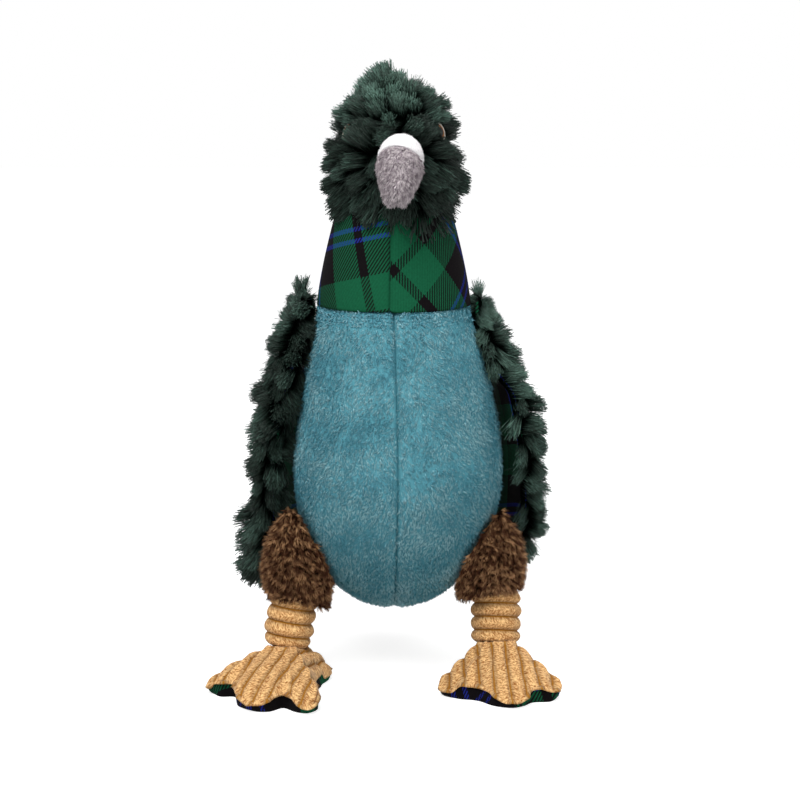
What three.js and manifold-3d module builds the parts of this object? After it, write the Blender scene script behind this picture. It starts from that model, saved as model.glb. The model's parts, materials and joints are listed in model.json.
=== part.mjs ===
// Plush bird dog toy, sewn from fur, plush, tartan and corduroy over stuffing, with a squeaker inside.
// Millimetres, +Z up. The bird looks along -Y; left and right are its own, so its left side is +X.
import * as THREE from 'three';
import { mergeVertices } from 'three/addons/utils/BufferGeometryUtils.js';
import loadManifold from 'manifold-3d';

const wasm = await loadManifold();
wasm.setup();

// Cloth thickness, and the clearances at seams and between parts that swing
const PLUSH = 1.8;
const TARTAN = 1.2;
const CORDUROY = 2.6;
const FELT = 1.2;
const HEAD_FUR = 7;
const THIGH_FUR = 4.5;
const SEAM_GAP = 0.3;
const SWING_GAP = 0.5;

// Torso: an egg that is widest at the belly and narrows to the neck seam
const TORSO_HALF_WIDTH = 51;
const BELLY_DROP = 72;
const SHOULDER_RISE = 76;
const NECK_SEAM_RADIUS = 36.5;
const BELLY_POWER = 2.1;
const SHOULDER_POWER = 1.5;
const BELLY_BULGE = 0.1;
const FORWARD_LEAN = 6;
const BREAST_TURN = 108;

// Neck: a cone that turns on a ball of stuffing inside the neck seam
const NECK_LENGTH = 42;
const NECK_TOP_RADIUS = 28;
const NECK_POWER = 1.35;
const NECK_PIVOT_DROP = 34;
const NECK_SKIRT = 3;

// Head: a bell that is widest low down and turns on the ball of stuffing in the top of the neck
const HEAD_RADIUS = 32;
const HEAD_CROWN = 49;
const HEAD_CHIN = 24;
const HEAD_RISE = 19;
const CHIN_POWER = 3;
const CHIN_SHARE = 0.4;
const FACE_DEPTH = 1.06;
const NAPE_DEPTH = 1.03;
const HEAD_PIVOT_DROP = 22;

// Beak: it leaves the face level and curves down to a blunt tip
const BEAK_HALF_WIDTH = 12.2;
const BEAK_HALF_HEIGHT = 13;
const BEAK_REACH = 24;
const BEAK_CURL = 6;
const BEAK_ROOT_RISE = 6;
const BEAK_BROW_RISE = 8;
const BEAK_TIP_DROP = 14;
const BEAK_POWER = 3;
const BEAK_UPPER_TURN = 100;
const CERE_SHARE = 0.34;
const CERE_SWELL = 0.7;

// Eyes: three discs on each side of the head, at the bottom of a pocket in the fur
const EYE_RISE = 19.6;
const EYE_TURN = 74;
const EYE_RADIUS = 5;
const IRIS_RADIUS = 3.5;
const PUPIL_RADIUS = 2;
const IRIS_THICKNESS = 0.6;
const PUPIL_THICKNESS = 0.7;
const EYE_POCKET_GAP = 1;

// Wings: flat pillows that hang from the shoulders
const WING_LENGTH = 136;
const WING_HALF_WIDTH = 31;
const WING_SHOULDER_HALF_WIDTH = 18;
const WING_WIDEST = 0.4;
const WING_INNER = 7;
const WING_OUTER_TOP = 9;
const WING_OUTER_LOW = 13;
const WING_TOP = 7;
const WING_TIP_ROUND = 30;
const WING_BACK = 6;
const WING_SWEEP = 26;
const WING_SWEEP_POWER = 1.3;
const WING_HUG_RADIUS = 75;
const WING_HUG_START = 40;
const WING_GAP = 0.7;
const SHOULDER_DROP = 4;
const LINING_SHARE = 0.84;
const PADDING_SHARE = 0.45;
const PADDING_DEPTH = 1;
const PADDING_WIDTH = 0.86;

// Tail: a small pillow at the back of the body
const TAIL_LENGTH = 48;
const TAIL_HALF_WIDTH = 26;
const TAIL_ROOT_HALF_WIDTH = 20;
const TAIL_HALF_THICKNESS = 5;
const TAIL_SLOPE = 30;
const TAIL_RISE = 32;
const TAIL_TIP_ROUND = 22;

// Legs: thigh, ankle and foot, from the hip down to the floor
const HIP_RISE = 50;
const HIP_TURN = 66;
const HIP_OUT = 5;
const HIP_RANGE = 70;
const HIP_SPLAY = 25;
const HIP_STEPS = 4;
const HIP_GAP = 0.8;
const THIGH_LENGTH = 42;
const THIGH_TOP = 8;
const THIGH_RADIUS = 16.3;
const THIGH_WIDEST = 30;
const THIGH_POWER = 0.8;
const HEM_RADIUS = 15.5;
const KNEE_ABOVE_HEM = 1.5;
const ANKLE_SPREAD = 47;
const ANKLE_FORWARD = 10;
const ANKLE_RINGS = 3;
const WALE_PITCH = 6.5;
const ANKLE_GROOVE_RADIUS = 10.6;
const ANKLE_CREST_RADIUS = 11.5;
const ANKLE_TILT = 20;

// Feet: three webbed toes, with the outline given from the ankle, toes toward -Y
const ANKLE_HEIGHT = 24;
const FOOT_HEEL = 18;
const HEEL_SIDE = [13, 8];
const FOOT_SIDE = [20, -8];
const OUTER_TOE_SIDE = [32, -23];
const OUTER_TOE_TIP = [27, -34];
const TOE_VALLEY = [14, -35];
const MIDDLE_TOE_SIDE = [9, -48];
const FOOT_TOE = 52;
const FOOT_SEAM = 5;
const SOLE_FLAT = 0.85;
const FOOT_SLOPE_POWER = 1.6;
const FOOT_ROUND_POWER = 0.8;
const LEFT_TOE_OUT = 10;
const RIGHT_TOE_OUT = 21;

// Squeaker: a blown bulb with a reed in its neck, in a pocket of the body stuffing
const SQUEAKER_RADIUS = 19;
const SQUEAKER_WALL = 1.2;
const SQUEAKER_NECK_RADIUS = 6;
const SQUEAKER_NECK_LENGTH = 7;
const REED_FLANGE = 1.5;
const REED_BORE = 2;

// Facets
const AROUND = 20;
const TORSO_ROWS = 10;
const DOME_ROWS = 4;
const NECK_ROWS = 5;
const HEAD_ROWS = 10;
const BEAK_ROWS = 5;
const BEAK_COLUMNS = 8;
const WING_COLUMNS = 6;
const WING_ROWS = 9;
const TAIL_ROWS = 6;
const THIGH_COLUMNS = 12;
const THIGH_ROWS = 7;
const ANKLE_COLUMNS = 12;
const RING_STEPS = 4;
const FOOT_COLUMNS = 28;
const FOOT_ROWS = 4;
const SOLE_ROWS = 3;
const EYE_COLUMNS = 10;
const JOINT_BALL_COLUMNS = 32;
const SOCKET_COLUMNS = 14;
const SQUEAKER_COLUMNS = 12;
const SQUEAKER_ROWS = 6;
const TINY = 1e-6;
const SLOPE_STEP = 1e-3;

const FINISH = {
  greenFur: { color: 0x1f3d33, roughness: 0.95, metalness: 0 },
  brownFur: { color: 0x5a3e2e, roughness: 0.95, metalness: 0 },
  tealPlush: { color: 0x4f8c9c, roughness: 0.9, metalness: 0 },
  greyPlush: { color: 0xa9a1a8, roughness: 0.9, metalness: 0 },
  whitePlush: { color: 0xf4f2f3, roughness: 0.9, metalness: 0 },
  tartan: { color: 0x1e5a44, roughness: 0.85, metalness: 0 },
  corduroy: { color: 0xd8a75f, roughness: 0.9, metalness: 0 },
  stuffing: { color: 0xf2f1ec, roughness: 1, metalness: 0 },
  whiteFelt: { color: 0xe9e4da, roughness: 0.9, metalness: 0 },
  amberFelt: { color: 0x8a5a22, roughness: 0.8, metalness: 0 },
  blackFelt: { color: 0x141212, roughness: 0.7, metalness: 0 },
  squeaker: { color: 0xe6e3d8, roughness: 0.5, metalness: 0 },
};

const radians = THREE.MathUtils.degToRad;

// Heights and places that follow from the sizes above
const KNEE_HEIGHT = ANKLE_HEIGHT + ANKLE_RINGS * WALE_PITCH;
const HEM_HEIGHT = KNEE_HEIGHT - KNEE_ABOVE_HEM;
const HIP_HEIGHT = HEM_HEIGHT + THIGH_LENGTH;
const TORSO_BOTTOM = HIP_HEIGHT - HIP_RISE;
const BELLY_HEIGHT = TORSO_BOTTOM + BELLY_DROP;
const NECK_SEAM = BELLY_HEIGHT + SHOULDER_RISE;
const NECK_TOP = NECK_SEAM + NECK_LENGTH;
const HEAD_CENTRE = NECK_TOP + HEAD_RISE;
const NECK_PIVOT = new THREE.Vector3(0, -FORWARD_LEAN, NECK_SEAM - NECK_PIVOT_DROP);
const HEAD_PIVOT = new THREE.Vector3(0, -FORWARD_LEAN, NECK_TOP - HEAD_PIVOT_DROP);
const NECK_BALL = Math.hypot(NECK_SEAM_RADIUS, NECK_PIVOT_DROP) + SEAM_GAP;
const HEAD_BALL = Math.hypot(NECK_TOP_RADIUS, HEAD_PIVOT_DROP) + SEAM_GAP;
const WING_HINGE = NECK_SEAM - SHOULDER_DROP;

// Solids

// A closed body from loose triangles: corners are merged, flat triangles dropped and faces turned out
function closedBody(corners) {
  const merged = mergeVertices(new THREE.BufferGeometry().setFromPoints(corners));
  const places = merged.getAttribute('position');
  const index = merged.getIndex();
  const kept = [];
  let volume = 0;
  for (let i = 0; i < index.count; i += 3) {
    const triangle = [index.getX(i), index.getX(i + 1), index.getX(i + 2)];
    if (new Set(triangle).size === 3) {
      const [a, b, c] = triangle.map((corner) => new THREE.Vector3().fromBufferAttribute(places, corner));
      volume += a.dot(b.cross(c));
      kept.push(...triangle);
    }
  }
  merged.setIndex(volume < 0 ? kept.reverse() : kept);
  return merged;
}

// The same for a geometry whose faces don't share their corners yet
function bodyOf(geometry) {
  const places = geometry.toNonIndexed().getAttribute('position');
  const corners = [];
  for (let i = 0; i < places.count; i += 1) {
    corners.push(new THREE.Vector3().fromBufferAttribute(places, i));
  }
  return closedBody(corners);
}

// A closed layer of cloth between two surfaces, each a function of two shares from 0 to 1.
// A round layer runs all the way about its axis, so it has no ends across.
function layer(outer, inner, columns, rows, round = false) {
  const corners = [];
  const at = (surface, i, j) => surface((round ? i % columns : i) / columns, j / rows);
  const quad = (a, b, c, d) => corners.push(a, b, c, a, c, d);
  for (let i = 0; i < columns; i += 1) {
    for (let j = 0; j < rows; j += 1) {
      const [a, b] = [at(outer, i, j), at(outer, i + 1, j)];
      const [c, d] = [at(outer, i + 1, j + 1), at(outer, i, j + 1)];
      const [e, f] = [at(inner, i, j), at(inner, i + 1, j)];
      const [g, h] = [at(inner, i + 1, j + 1), at(inner, i, j + 1)];
      if (i < columns / 2 === j < rows / 2) {
        quad(a, b, c, d);
        quad(e, h, g, f);
      } else {
        quad(b, c, d, a);
        quad(f, e, h, g);
      }
    }
    quad(at(outer, i + 1, 0), at(outer, i, 0), at(inner, i, 0), at(inner, i + 1, 0));
    quad(at(outer, i, rows), at(outer, i + 1, rows), at(inner, i + 1, rows), at(inner, i, rows));
  }
  for (let j = 0; !round && j < rows; j += 1) {
    quad(at(outer, 0, j), at(outer, 0, j + 1), at(inner, 0, j + 1), at(inner, 0, j));
    quad(at(outer, columns, j + 1), at(outer, columns, j), at(inner, columns, j), at(inner, columns, j + 1));
  }
  return closedBody(corners);
}

// A closed lump given row by row, whose first and last row are each one point
function lump(surface, columns, rows) {
  const corners = [];
  for (let i = 0; i < columns; i += 1) {
    for (let j = 0; j < rows; j += 1) {
      const next = (i + 1) % columns;
      const [a, b] = [surface(i / columns, j), surface(next / columns, j)];
      const [c, d] = [surface(next / columns, j + 1), surface(i / columns, j + 1)];
      corners.push(a, b, c, a, c, d);
    }
  }
  return closedBody(corners);
}

// A turned body from a profile of [radius, height] pairs that starts and ends on the axis, or closes
function turned(profile, columns) {
  const points = profile.map(([radius, height]) => new THREE.Vector2(radius, height));
  return bodyOf(new THREE.LatheGeometry(points, columns).rotateX(Math.PI / 2));
}

function solid(geometry) {
  const vertProperties = new Float32Array(geometry.getAttribute('position').array);
  const triVerts = new Uint32Array(geometry.getIndex().array);
  return new wasm.Manifold(new wasm.Mesh({ numProp: 3, vertProperties, triVerts }));
}

// What the tools leave of a piece: its main body, without loose scraps
function cut(geometry, tools) {
  const left = tools.reduce((body, tool) => body.subtract(solid(tool)), solid(geometry));
  const [main] = left.decompose().sort((a, b) => b.volume() - a.volume());
  const { vertProperties, triVerts } = main.getMesh();
  const result = new THREE.BufferGeometry();
  result.setAttribute('position', new THREE.BufferAttribute(vertProperties, 3));
  result.setIndex(new THREE.BufferAttribute(triVerts, 1));
  return result;
}

// A ball for cutting, whose flat faces lie outside the true radius
function ball(centre, radius, columns) {
  const rows = columns / 2;
  const faces = radius / Math.cos(Math.PI / columns) ** 2;
  const sphere = new THREE.SphereGeometry(faces, columns, rows).rotateX(Math.PI / 2);
  return bodyOf(sphere).translate(centre.x, centre.y, centre.z);
}

// An upright cylinder for cutting, from a low to a high level
function shaft(radius, low, high) {
  const faces = radius / Math.cos(Math.PI / SOCKET_COLUMNS);
  const cylinder = new THREE.CylinderGeometry(faces, faces, high - low, SOCKET_COLUMNS).rotateX(Math.PI / 2);
  return bodyOf(cylinder).translate(0, 0, (high + low) / 2);
}

// A piece on the left side becomes its mirror image on the right
function mirrored(geometry) {
  const copy = geometry.clone().scale(-1, 1, 1);
  copy.getIndex().array.reverse();
  return copy;
}

function sided(geometry, side) {
  return side > 0 ? geometry : mirrored(geometry);
}

// A form that swells about an upright axis. The profile gives [radius, height] for a share from 0, low,
// to 1, high; the depth stretches it fore and aft, and the axis gives its [x, y] at a height.
// An inset moves a point inward, square to the profile.
function swollen(profile, depth, axis) {
  return (share, turn, inset = 0) => {
    const [radius, height] = profile(share);
    const [below, low] = profile(Math.max(share - SLOPE_STEP, 0));
    const [above, high] = profile(Math.min(share + SLOPE_STEP, 1));
    const slope = Math.hypot(above - below, high - low);
    const reach = radius < TINY ? 0 : radius - inset * (high - low) / slope;
    const level = height + inset * (above - below) / slope;
    const [x, y] = axis(height);
    const forward = reach * Math.cos(turn) * depth(height, turn);
    return new THREE.Vector3(x + reach * Math.sin(turn), y - forward, level);
  };
}

// A panel of a swollen form between two turns, moved out so that a seam's gap opens on both its edges
function panel(form, from, to, thickness, columns, rows) {
  const turn = (u) => from + (to - from) * u;
  const outer = (u, v) => form(v, turn(u));
  const inner = (u, v) => form(v, turn(u), thickness);
  const middle = (from + to) / 2;
  const apart = SEAM_GAP / 2 / Math.abs(Math.sin((to - from) / 2));
  return layer(outer, inner, columns, rows)
    .translate(Math.sin(middle) * apart, -Math.cos(middle) * apart, 0);
}

// Rounds a pillow's thickness off toward an edge: 0 on the edge, 1 from the given distance on
function roundedEdge(distance, round) {
  const open = 1 - Math.min(Math.max(distance / round, 0), 1);
  return Math.sqrt(1 - open * open);
}

function cosineShare(share) {
  return (1 - Math.cos(Math.PI * share)) / 2;
}

// Bodies and pieces

// A body of the toy, whose group stands at the point that it turns about
function bodyAt(parent, pivot) {
  const group = new THREE.Group();
  group.userData.pivot = pivot;
  group.position.copy(pivot);
  if (parent.userData.pivot) {
    group.position.sub(parent.userData.pivot);
  }
  parent.add(group);
  return group;
}

// A piece whose geometry is given in its body's own frame
function addPiece(body, name, geometry, finish) {
  const mesh = new THREE.Mesh(geometry, new THREE.MeshStandardMaterial(finish));
  mesh.name = name;
  body.add(mesh);
}

// A piece whose geometry is given in the toy's frame
function addPlaced(body, name, geometry, finish) {
  const { x, y, z } = body.userData.pivot;
  addPiece(body, name, geometry.translate(-x, -y, -z), finish);
}

// Torso

function torsoRadius(height) {
  if (height <= BELLY_HEIGHT) {
    const drop = Math.min((BELLY_HEIGHT - height) / BELLY_DROP, 1);
    return TORSO_HALF_WIDTH * (1 - drop ** BELLY_POWER) ** (1 / BELLY_POWER);
  }
  const rise = (height - BELLY_HEIGHT) / SHOULDER_RISE;
  return TORSO_HALF_WIDTH - (TORSO_HALF_WIDTH - NECK_SEAM_RADIUS) * rise ** SHOULDER_POWER;
}

function torsoProfile(share) {
  if (share > 0.5) {
    const height = BELLY_HEIGHT + SHOULDER_RISE * (2 * share - 1);
    return [torsoRadius(height), height];
  }
  const angle = share * Math.PI;
  const radius = TORSO_HALF_WIDTH * Math.sin(angle) ** (2 / BELLY_POWER);
  return [radius, BELLY_HEIGHT - BELLY_DROP * Math.cos(angle) ** (2 / BELLY_POWER)];
}

function torsoShare(height) {
  return Math.min(Math.max((height - TORSO_BOTTOM) / (NECK_SEAM - TORSO_BOTTOM), 0), 1);
}

function torsoDepth(height, turn) {
  return Math.cos(turn) > 0 ? 1 + BELLY_BULGE * Math.sin(Math.PI * torsoShare(height)) : 1;
}

function torsoAxis(height) {
  return [0, -FORWARD_LEAN * torsoShare(height)];
}

const torsoForm = swollen(torsoProfile, torsoDepth, torsoAxis);

// The whole torso, larger by a clearance, for cutting what lies against it
function torsoCutter(clearance) {
  const surface = (u, row) => {
    const share = Math.min(row / TORSO_ROWS, 1);
    const point = torsoForm(share, u * 2 * Math.PI, -clearance);
    return row > TORSO_ROWS ? new THREE.Vector3(0, -FORWARD_LEAN, point.z) : point;
  };
  return lump(surface, AROUND, TORSO_ROWS + 1);
}

const SQUEAKER_PLACE = new THREE.Vector3(0, torsoAxis(BELLY_HEIGHT)[1], BELLY_HEIGHT);

// The pocket for the squeaker, open to the back of the stuffing where the toy is sewn shut last
function squeakerPocket() {
  const channel = shaft(SQUEAKER_NECK_RADIUS + SQUEAKER_WALL + REED_FLANGE, 0, TORSO_HALF_WIDTH * 2)
    .rotateX(-Math.PI / 2)
    .translate(SQUEAKER_PLACE.x, SQUEAKER_PLACE.y, SQUEAKER_PLACE.z);
  return [ball(SQUEAKER_PLACE, SQUEAKER_RADIUS + SEAM_GAP, SOCKET_COLUMNS), channel];
}

function bodyStuffing() {
  const inset = PLUSH + SEAM_GAP;
  const shoulder = torsoForm(1, Math.PI / 2, inset);
  const rim = Math.asin(shoulder.x / NECK_BALL);
  const surface = (u, row) => {
    const turn = u * 2 * Math.PI;
    if (row <= TORSO_ROWS) {
      return torsoForm(row / TORSO_ROWS, turn, inset);
    }
    const lean = rim * (1 - (row - TORSO_ROWS - 1) / DOME_ROWS);
    const radius = lean < TINY ? 0 : NECK_BALL * Math.sin(lean);
    const reach = new THREE.Vector3(Math.sin(turn) * radius, -Math.cos(turn) * radius, 0);
    return reach.add(NECK_PIVOT).setZ(NECK_PIVOT.z + NECK_BALL * Math.cos(lean));
  };
  return cut(lump(surface, AROUND, TORSO_ROWS + 1 + DOME_ROWS), squeakerPocket());
}

// The bulb lies on its side with its neck toward the back
function squeakerBulb() {
  const outerNeck = SQUEAKER_NECK_RADIUS + SQUEAKER_WALL;
  const inner = SQUEAKER_RADIUS - SQUEAKER_WALL;
  const end = SQUEAKER_RADIUS + SQUEAKER_NECK_LENGTH;
  const profile = [];
  const sweep = (radius, opening, reversed) => {
    const last = Math.PI - Math.asin(opening / radius);
    for (let i = 0; i <= SQUEAKER_ROWS; i += 1) {
      const angle = last * (reversed ? SQUEAKER_ROWS - i : i) / SQUEAKER_ROWS;
      profile.push([radius * Math.sin(angle), -radius * Math.cos(angle)]);
    }
  };
  sweep(SQUEAKER_RADIUS, outerNeck, false);
  profile.push([outerNeck, end], [SQUEAKER_NECK_RADIUS, end]);
  sweep(inner, SQUEAKER_NECK_RADIUS, true);
  return turned(profile, SQUEAKER_COLUMNS);
}

// The reed is a flanged plug with a bore, pushed into the neck of the bulb
function squeakerReed() {
  const end = SQUEAKER_RADIUS + SQUEAKER_NECK_LENGTH + SEAM_GAP;
  const plug = SQUEAKER_NECK_RADIUS - SEAM_GAP;
  const profile = [
    [REED_BORE, SQUEAKER_RADIUS],
    [plug, SQUEAKER_RADIUS],
    [plug, end],
    [SQUEAKER_NECK_RADIUS + SQUEAKER_WALL, end],
    [SQUEAKER_NECK_RADIUS + SQUEAKER_WALL, end + REED_FLANGE],
    [REED_BORE, end + REED_FLANGE],
    [REED_BORE, SQUEAKER_RADIUS],
  ];
  return turned(profile, SQUEAKER_COLUMNS);
}

function addTorso(body) {
  const breast = radians(BREAST_TURN);
  const breastColumns = Math.round(AROUND * BREAST_TURN / 360);
  const backColumns = AROUND / 2 - breastColumns;
  const breastPanel = panel(torsoForm, 0, breast, PLUSH, breastColumns, TORSO_ROWS);
  const backPanel = panel(torsoForm, breast, Math.PI, TARTAN, backColumns, TORSO_ROWS);
  addPlaced(body, 'breast_panel_left', breastPanel, FINISH.tealPlush);
  addPlaced(body, 'breast_panel_right', mirrored(breastPanel), FINISH.tealPlush);
  addPlaced(body, 'back_panel_left', backPanel, FINISH.tartan);
  addPlaced(body, 'back_panel_right', mirrored(backPanel), FINISH.tartan);
  addPlaced(body, 'body_stuffing', bodyStuffing(), FINISH.stuffing);
  const squeaker = bodyAt(body, SQUEAKER_PLACE);
  squeaker.rotation.x = -Math.PI / 2;
  addPiece(squeaker, 'squeaker_bulb', squeakerBulb(), FINISH.squeaker);
  addPiece(squeaker, 'squeaker_reed', squeakerReed(), FINISH.squeaker);
}

// Neck

function neckRadius(height) {
  const rise = Math.max((height - NECK_SEAM) / NECK_LENGTH, 0);
  return NECK_SEAM_RADIUS - (NECK_SEAM_RADIUS - NECK_TOP_RADIUS) * rise ** NECK_POWER;
}

// The neck's cloth starts below its seam, so that the ball in the torso trims it all round
function neckProfile(share) {
  const low = NECK_SEAM - NECK_SKIRT;
  const height = low + (NECK_TOP - low) * share;
  return [neckRadius(height), height];
}

const neckForm = swollen(neckProfile, () => 1, () => [0, -FORWARD_LEAN]);

function neckPanel(from, to) {
  const columns = Math.round(AROUND * (to - from) / (2 * Math.PI));
  const cloth = panel(neckForm, from, to, TARTAN, columns, NECK_ROWS);
  return cut(cloth, [ball(NECK_PIVOT, NECK_BALL + SWING_GAP, JOINT_BALL_COLUMNS)]);
}

function neckStuffing() {
  const inset = TARTAN + 2 * SEAM_GAP;
  const hollow = NECK_BALL + 2 * SWING_GAP;
  const rim = Math.asin((NECK_SEAM_RADIUS - inset) / hollow);
  const crown = Math.asin((NECK_TOP_RADIUS - inset) / HEAD_BALL);
  const profile = [];
  for (let row = 0; row <= DOME_ROWS; row += 1) {
    const angle = rim * row / DOME_ROWS;
    profile.push([hollow * Math.sin(angle), NECK_PIVOT.z + hollow * Math.cos(angle)]);
  }
  const [, foot] = profile[DOME_ROWS];
  for (let row = 1; row < NECK_ROWS; row += 1) {
    const height = foot + (NECK_TOP - foot) * row / NECK_ROWS;
    profile.push([neckRadius(height) - inset, height]);
  }
  for (let row = 0; row <= DOME_ROWS; row += 1) {
    const angle = crown * (1 - row / DOME_ROWS);
    profile.push([HEAD_BALL * Math.sin(angle), HEAD_PIVOT.z + HEAD_BALL * Math.cos(angle)]);
  }
  return turned(profile, AROUND).translate(0, -FORWARD_LEAN, 0);
}

function addNeck(body) {
  addPlaced(body, 'neck_panel_front_left', neckPanel(0, Math.PI / 2), FINISH.tartan);
  addPlaced(body, 'neck_panel_front_right', mirrored(neckPanel(0, Math.PI / 2)), FINISH.tartan);
  addPlaced(body, 'neck_panel_back', neckPanel(Math.PI / 2, 3 * Math.PI / 2), FINISH.tartan);
  addPlaced(body, 'neck_stuffing', neckStuffing(), FINISH.stuffing);
}

// Head

function headProfile(share) {
  if (share > CHIN_SHARE) {
    const angle = (share - CHIN_SHARE) / (1 - CHIN_SHARE) * Math.PI / 2;
    return [HEAD_RADIUS * Math.cos(angle), HEAD_CENTRE + HEAD_CROWN * Math.sin(angle)];
  }
  const angle = share / CHIN_SHARE * Math.PI / 2;
  const radius = HEAD_RADIUS * Math.sin(angle) ** (2 / CHIN_POWER);
  return [radius, HEAD_CENTRE - HEAD_CHIN * Math.cos(angle) ** (2 / CHIN_POWER)];
}

function headDepth(height, turn) {
  return Math.cos(turn) > 0 ? FACE_DEPTH : NAPE_DEPTH;
}

const headForm = swollen(headProfile, headDepth, () => [0, -FORWARD_LEAN]);

function headLump(inset) {
  return lump((u, row) => headForm(row / HEAD_ROWS, u * 2 * Math.PI, inset), AROUND, HEAD_ROWS);
}

const FACE = -FORWARD_LEAN - HEAD_RADIUS * FACE_DEPTH;
const beakSpine = new THREE.QuadraticBezierCurve3(
  new THREE.Vector3(0, FACE + HEAD_FUR + PLUSH, HEAD_CENTRE + BEAK_ROOT_RISE),
  new THREE.Vector3(0, FACE - BEAK_REACH + BEAK_CURL, HEAD_CENTRE + BEAK_BROW_RISE),
  new THREE.Vector3(0, FACE - BEAK_REACH, HEAD_CENTRE - BEAK_TIP_DROP),
);

// A point on the beak, at a share along its spine and a turn from its top, grown or shrunk all round
function beakPoint(share, turn, grow) {
  const along = share * (1 + grow / beakSpine.getLength());
  const middle = beakSpine.getPoint(along);
  const forward = beakSpine.getTangent(Math.min(along, 1));
  const up = new THREE.Vector3(forward.x, forward.z, -forward.y);
  const taper = Math.sqrt(Math.max(1 - share ** BEAK_POWER, 0));
  middle.addScaledVector(up, (BEAK_HALF_HEIGHT + grow) * taper * Math.cos(turn));
  middle.x += (BEAK_HALF_WIDTH + grow) * taper * Math.sin(turn);
  return middle;
}

function beakLump(grow) {
  const surface = (u, row) => {
    const share = Math.max(row - 1, 0) / BEAK_ROWS;
    const root = beakSpine.getPoint(0);
    return row === 0 ? root : beakPoint(share, u * 2 * Math.PI, grow);
  };
  return lump(surface, 2 * BEAK_COLUMNS, BEAK_ROWS + 1);
}

// A panel of the beak between two shares of its length and two turns from its top
function beakPanel([start, end], [from, to], swell) {
  const turn = (u) => from + (to - from) * u;
  const share = (v) => start + (end - start) * v;
  const outer = (u, v) => beakPoint(share(v), turn(u), swell * Math.sin(Math.PI * v));
  const inner = (u, v) => beakPoint(share(v), turn(u), -PLUSH);
  return cut(layer(outer, inner, BEAK_COLUMNS, BEAK_ROWS), [headLump(HEAD_FUR)]);
}

const eyeShare = CHIN_SHARE + (1 - CHIN_SHARE) * Math.asin(EYE_RISE / HEAD_CROWN) / (Math.PI / 2);

// Where an eye sits on the head's stuffing, and the way it looks
function eyeSeat(side) {
  const turn = side * radians(EYE_TURN);
  const place = headForm(eyeShare, turn, HEAD_FUR);
  const inside = headForm(eyeShare, turn, HEAD_FUR + FELT);
  return { place, outward: place.clone().sub(inside).normalize() };
}

function eyeDisc(radius, thickness) {
  const rounded = thickness / 2;
  const profile = [[0, 0], [radius, 0], [radius, rounded], [radius - rounded, thickness], [0, thickness]];
  return turned(profile, EYE_COLUMNS);
}

function eyePocket(side) {
  const { place, outward } = eyeSeat(side);
  const pocket = shaft(EYE_RADIUS + EYE_POCKET_GAP, -HEAD_FUR, 2 * HEAD_FUR);
  const turn = new THREE.Quaternion().setFromUnitVectors(new THREE.Vector3(0, 0, 1), outward);
  return pocket.applyQuaternion(turn).translate(place.x, place.y, place.z);
}

function addEye(head, side, label) {
  const { place, outward } = eyeSeat(side);
  const eye = bodyAt(head, place);
  eye.quaternion.setFromUnitVectors(new THREE.Vector3(0, 0, 1), outward);
  const irisLevel = SEAM_GAP + FELT + SEAM_GAP;
  const pupilLevel = irisLevel + IRIS_THICKNESS + SEAM_GAP;
  const white = eyeDisc(EYE_RADIUS, FELT).translate(0, 0, SEAM_GAP);
  const iris = eyeDisc(IRIS_RADIUS, IRIS_THICKNESS).translate(0, 0, irisLevel);
  const pupil = eyeDisc(PUPIL_RADIUS, PUPIL_THICKNESS).translate(0, 0, pupilLevel);
  addPiece(eye, `eye_white_${label}`, white, FINISH.whiteFelt);
  addPiece(eye, `eye_iris_${label}`, iris, FINISH.amberFelt);
  addPiece(eye, `eye_pupil_${label}`, pupil, FINISH.blackFelt);
}

// The ball of stuffing in the neck that the head turns on
function headBall() {
  return ball(HEAD_PIVOT, HEAD_BALL + SWING_GAP, JOINT_BALL_COLUMNS);
}

function headPanel() {
  const fur = panel(headForm, 0, Math.PI, HEAD_FUR, AROUND / 2, HEAD_ROWS);
  return cut(fur, [headBall(), beakLump(CERE_SWELL + SEAM_GAP), eyePocket(1)]);
}

function addHead(body) {
  const upper = radians(BEAK_UPPER_TURN);
  const seam = SEAM_GAP / BEAK_HALF_WIDTH / 2;
  const seamShare = SEAM_GAP / beakSpine.getLength();
  const stuffing = cut(headLump(HEAD_FUR + SEAM_GAP), [headBall()]);
  const beakFilling = cut(beakLump(-PLUSH - 3 * SEAM_GAP), [headLump(HEAD_FUR)]);
  const cere = beakPanel([0, CERE_SHARE], [-upper + seam, upper - seam], CERE_SWELL);
  const beakUpper = beakPanel([CERE_SHARE + seamShare, 1], [-upper + seam, upper - seam], 0);
  const beakLower = beakPanel([0, 1], [upper + seam, 2 * Math.PI - upper - seam], 0);
  addPlaced(body, 'head_panel_left', headPanel(), FINISH.greenFur);
  addPlaced(body, 'head_panel_right', mirrored(headPanel()), FINISH.greenFur);
  addPlaced(body, 'head_stuffing', stuffing, FINISH.stuffing);
  addPlaced(body, 'cere', cere, FINISH.whitePlush);
  addPlaced(body, 'beak_upper', beakUpper, FINISH.greyPlush);
  addPlaced(body, 'beak_lower', beakLower, FINISH.greyPlush);
  addPlaced(body, 'beak_stuffing', beakFilling, FINISH.stuffing);
  addEye(body, 1, 'left');
  addEye(body, -1, 'right');
}

// Wings

// The middle of a wing's thickness stays this far from the axis, so that its lining lies on the torso
function wingMiddle(height) {
  const side = torsoRadius(Math.min(Math.max(height, BELLY_HEIGHT), WING_HINGE));
  return side + WING_GAP + WING_INNER + SEAM_GAP / 2;
}

function wingHalfWidth(share) {
  const out = (share - WING_WIDEST) / (share < WING_WIDEST ? WING_WIDEST : 1 - WING_WIDEST);
  if (share < WING_WIDEST) {
    return WING_HALF_WIDTH - (WING_HALF_WIDTH - WING_SHOULDER_HALF_WIDTH) * out * out;
  }
  return WING_HALF_WIDTH * Math.sqrt(Math.max(1 - out * out, 0));
}

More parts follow.
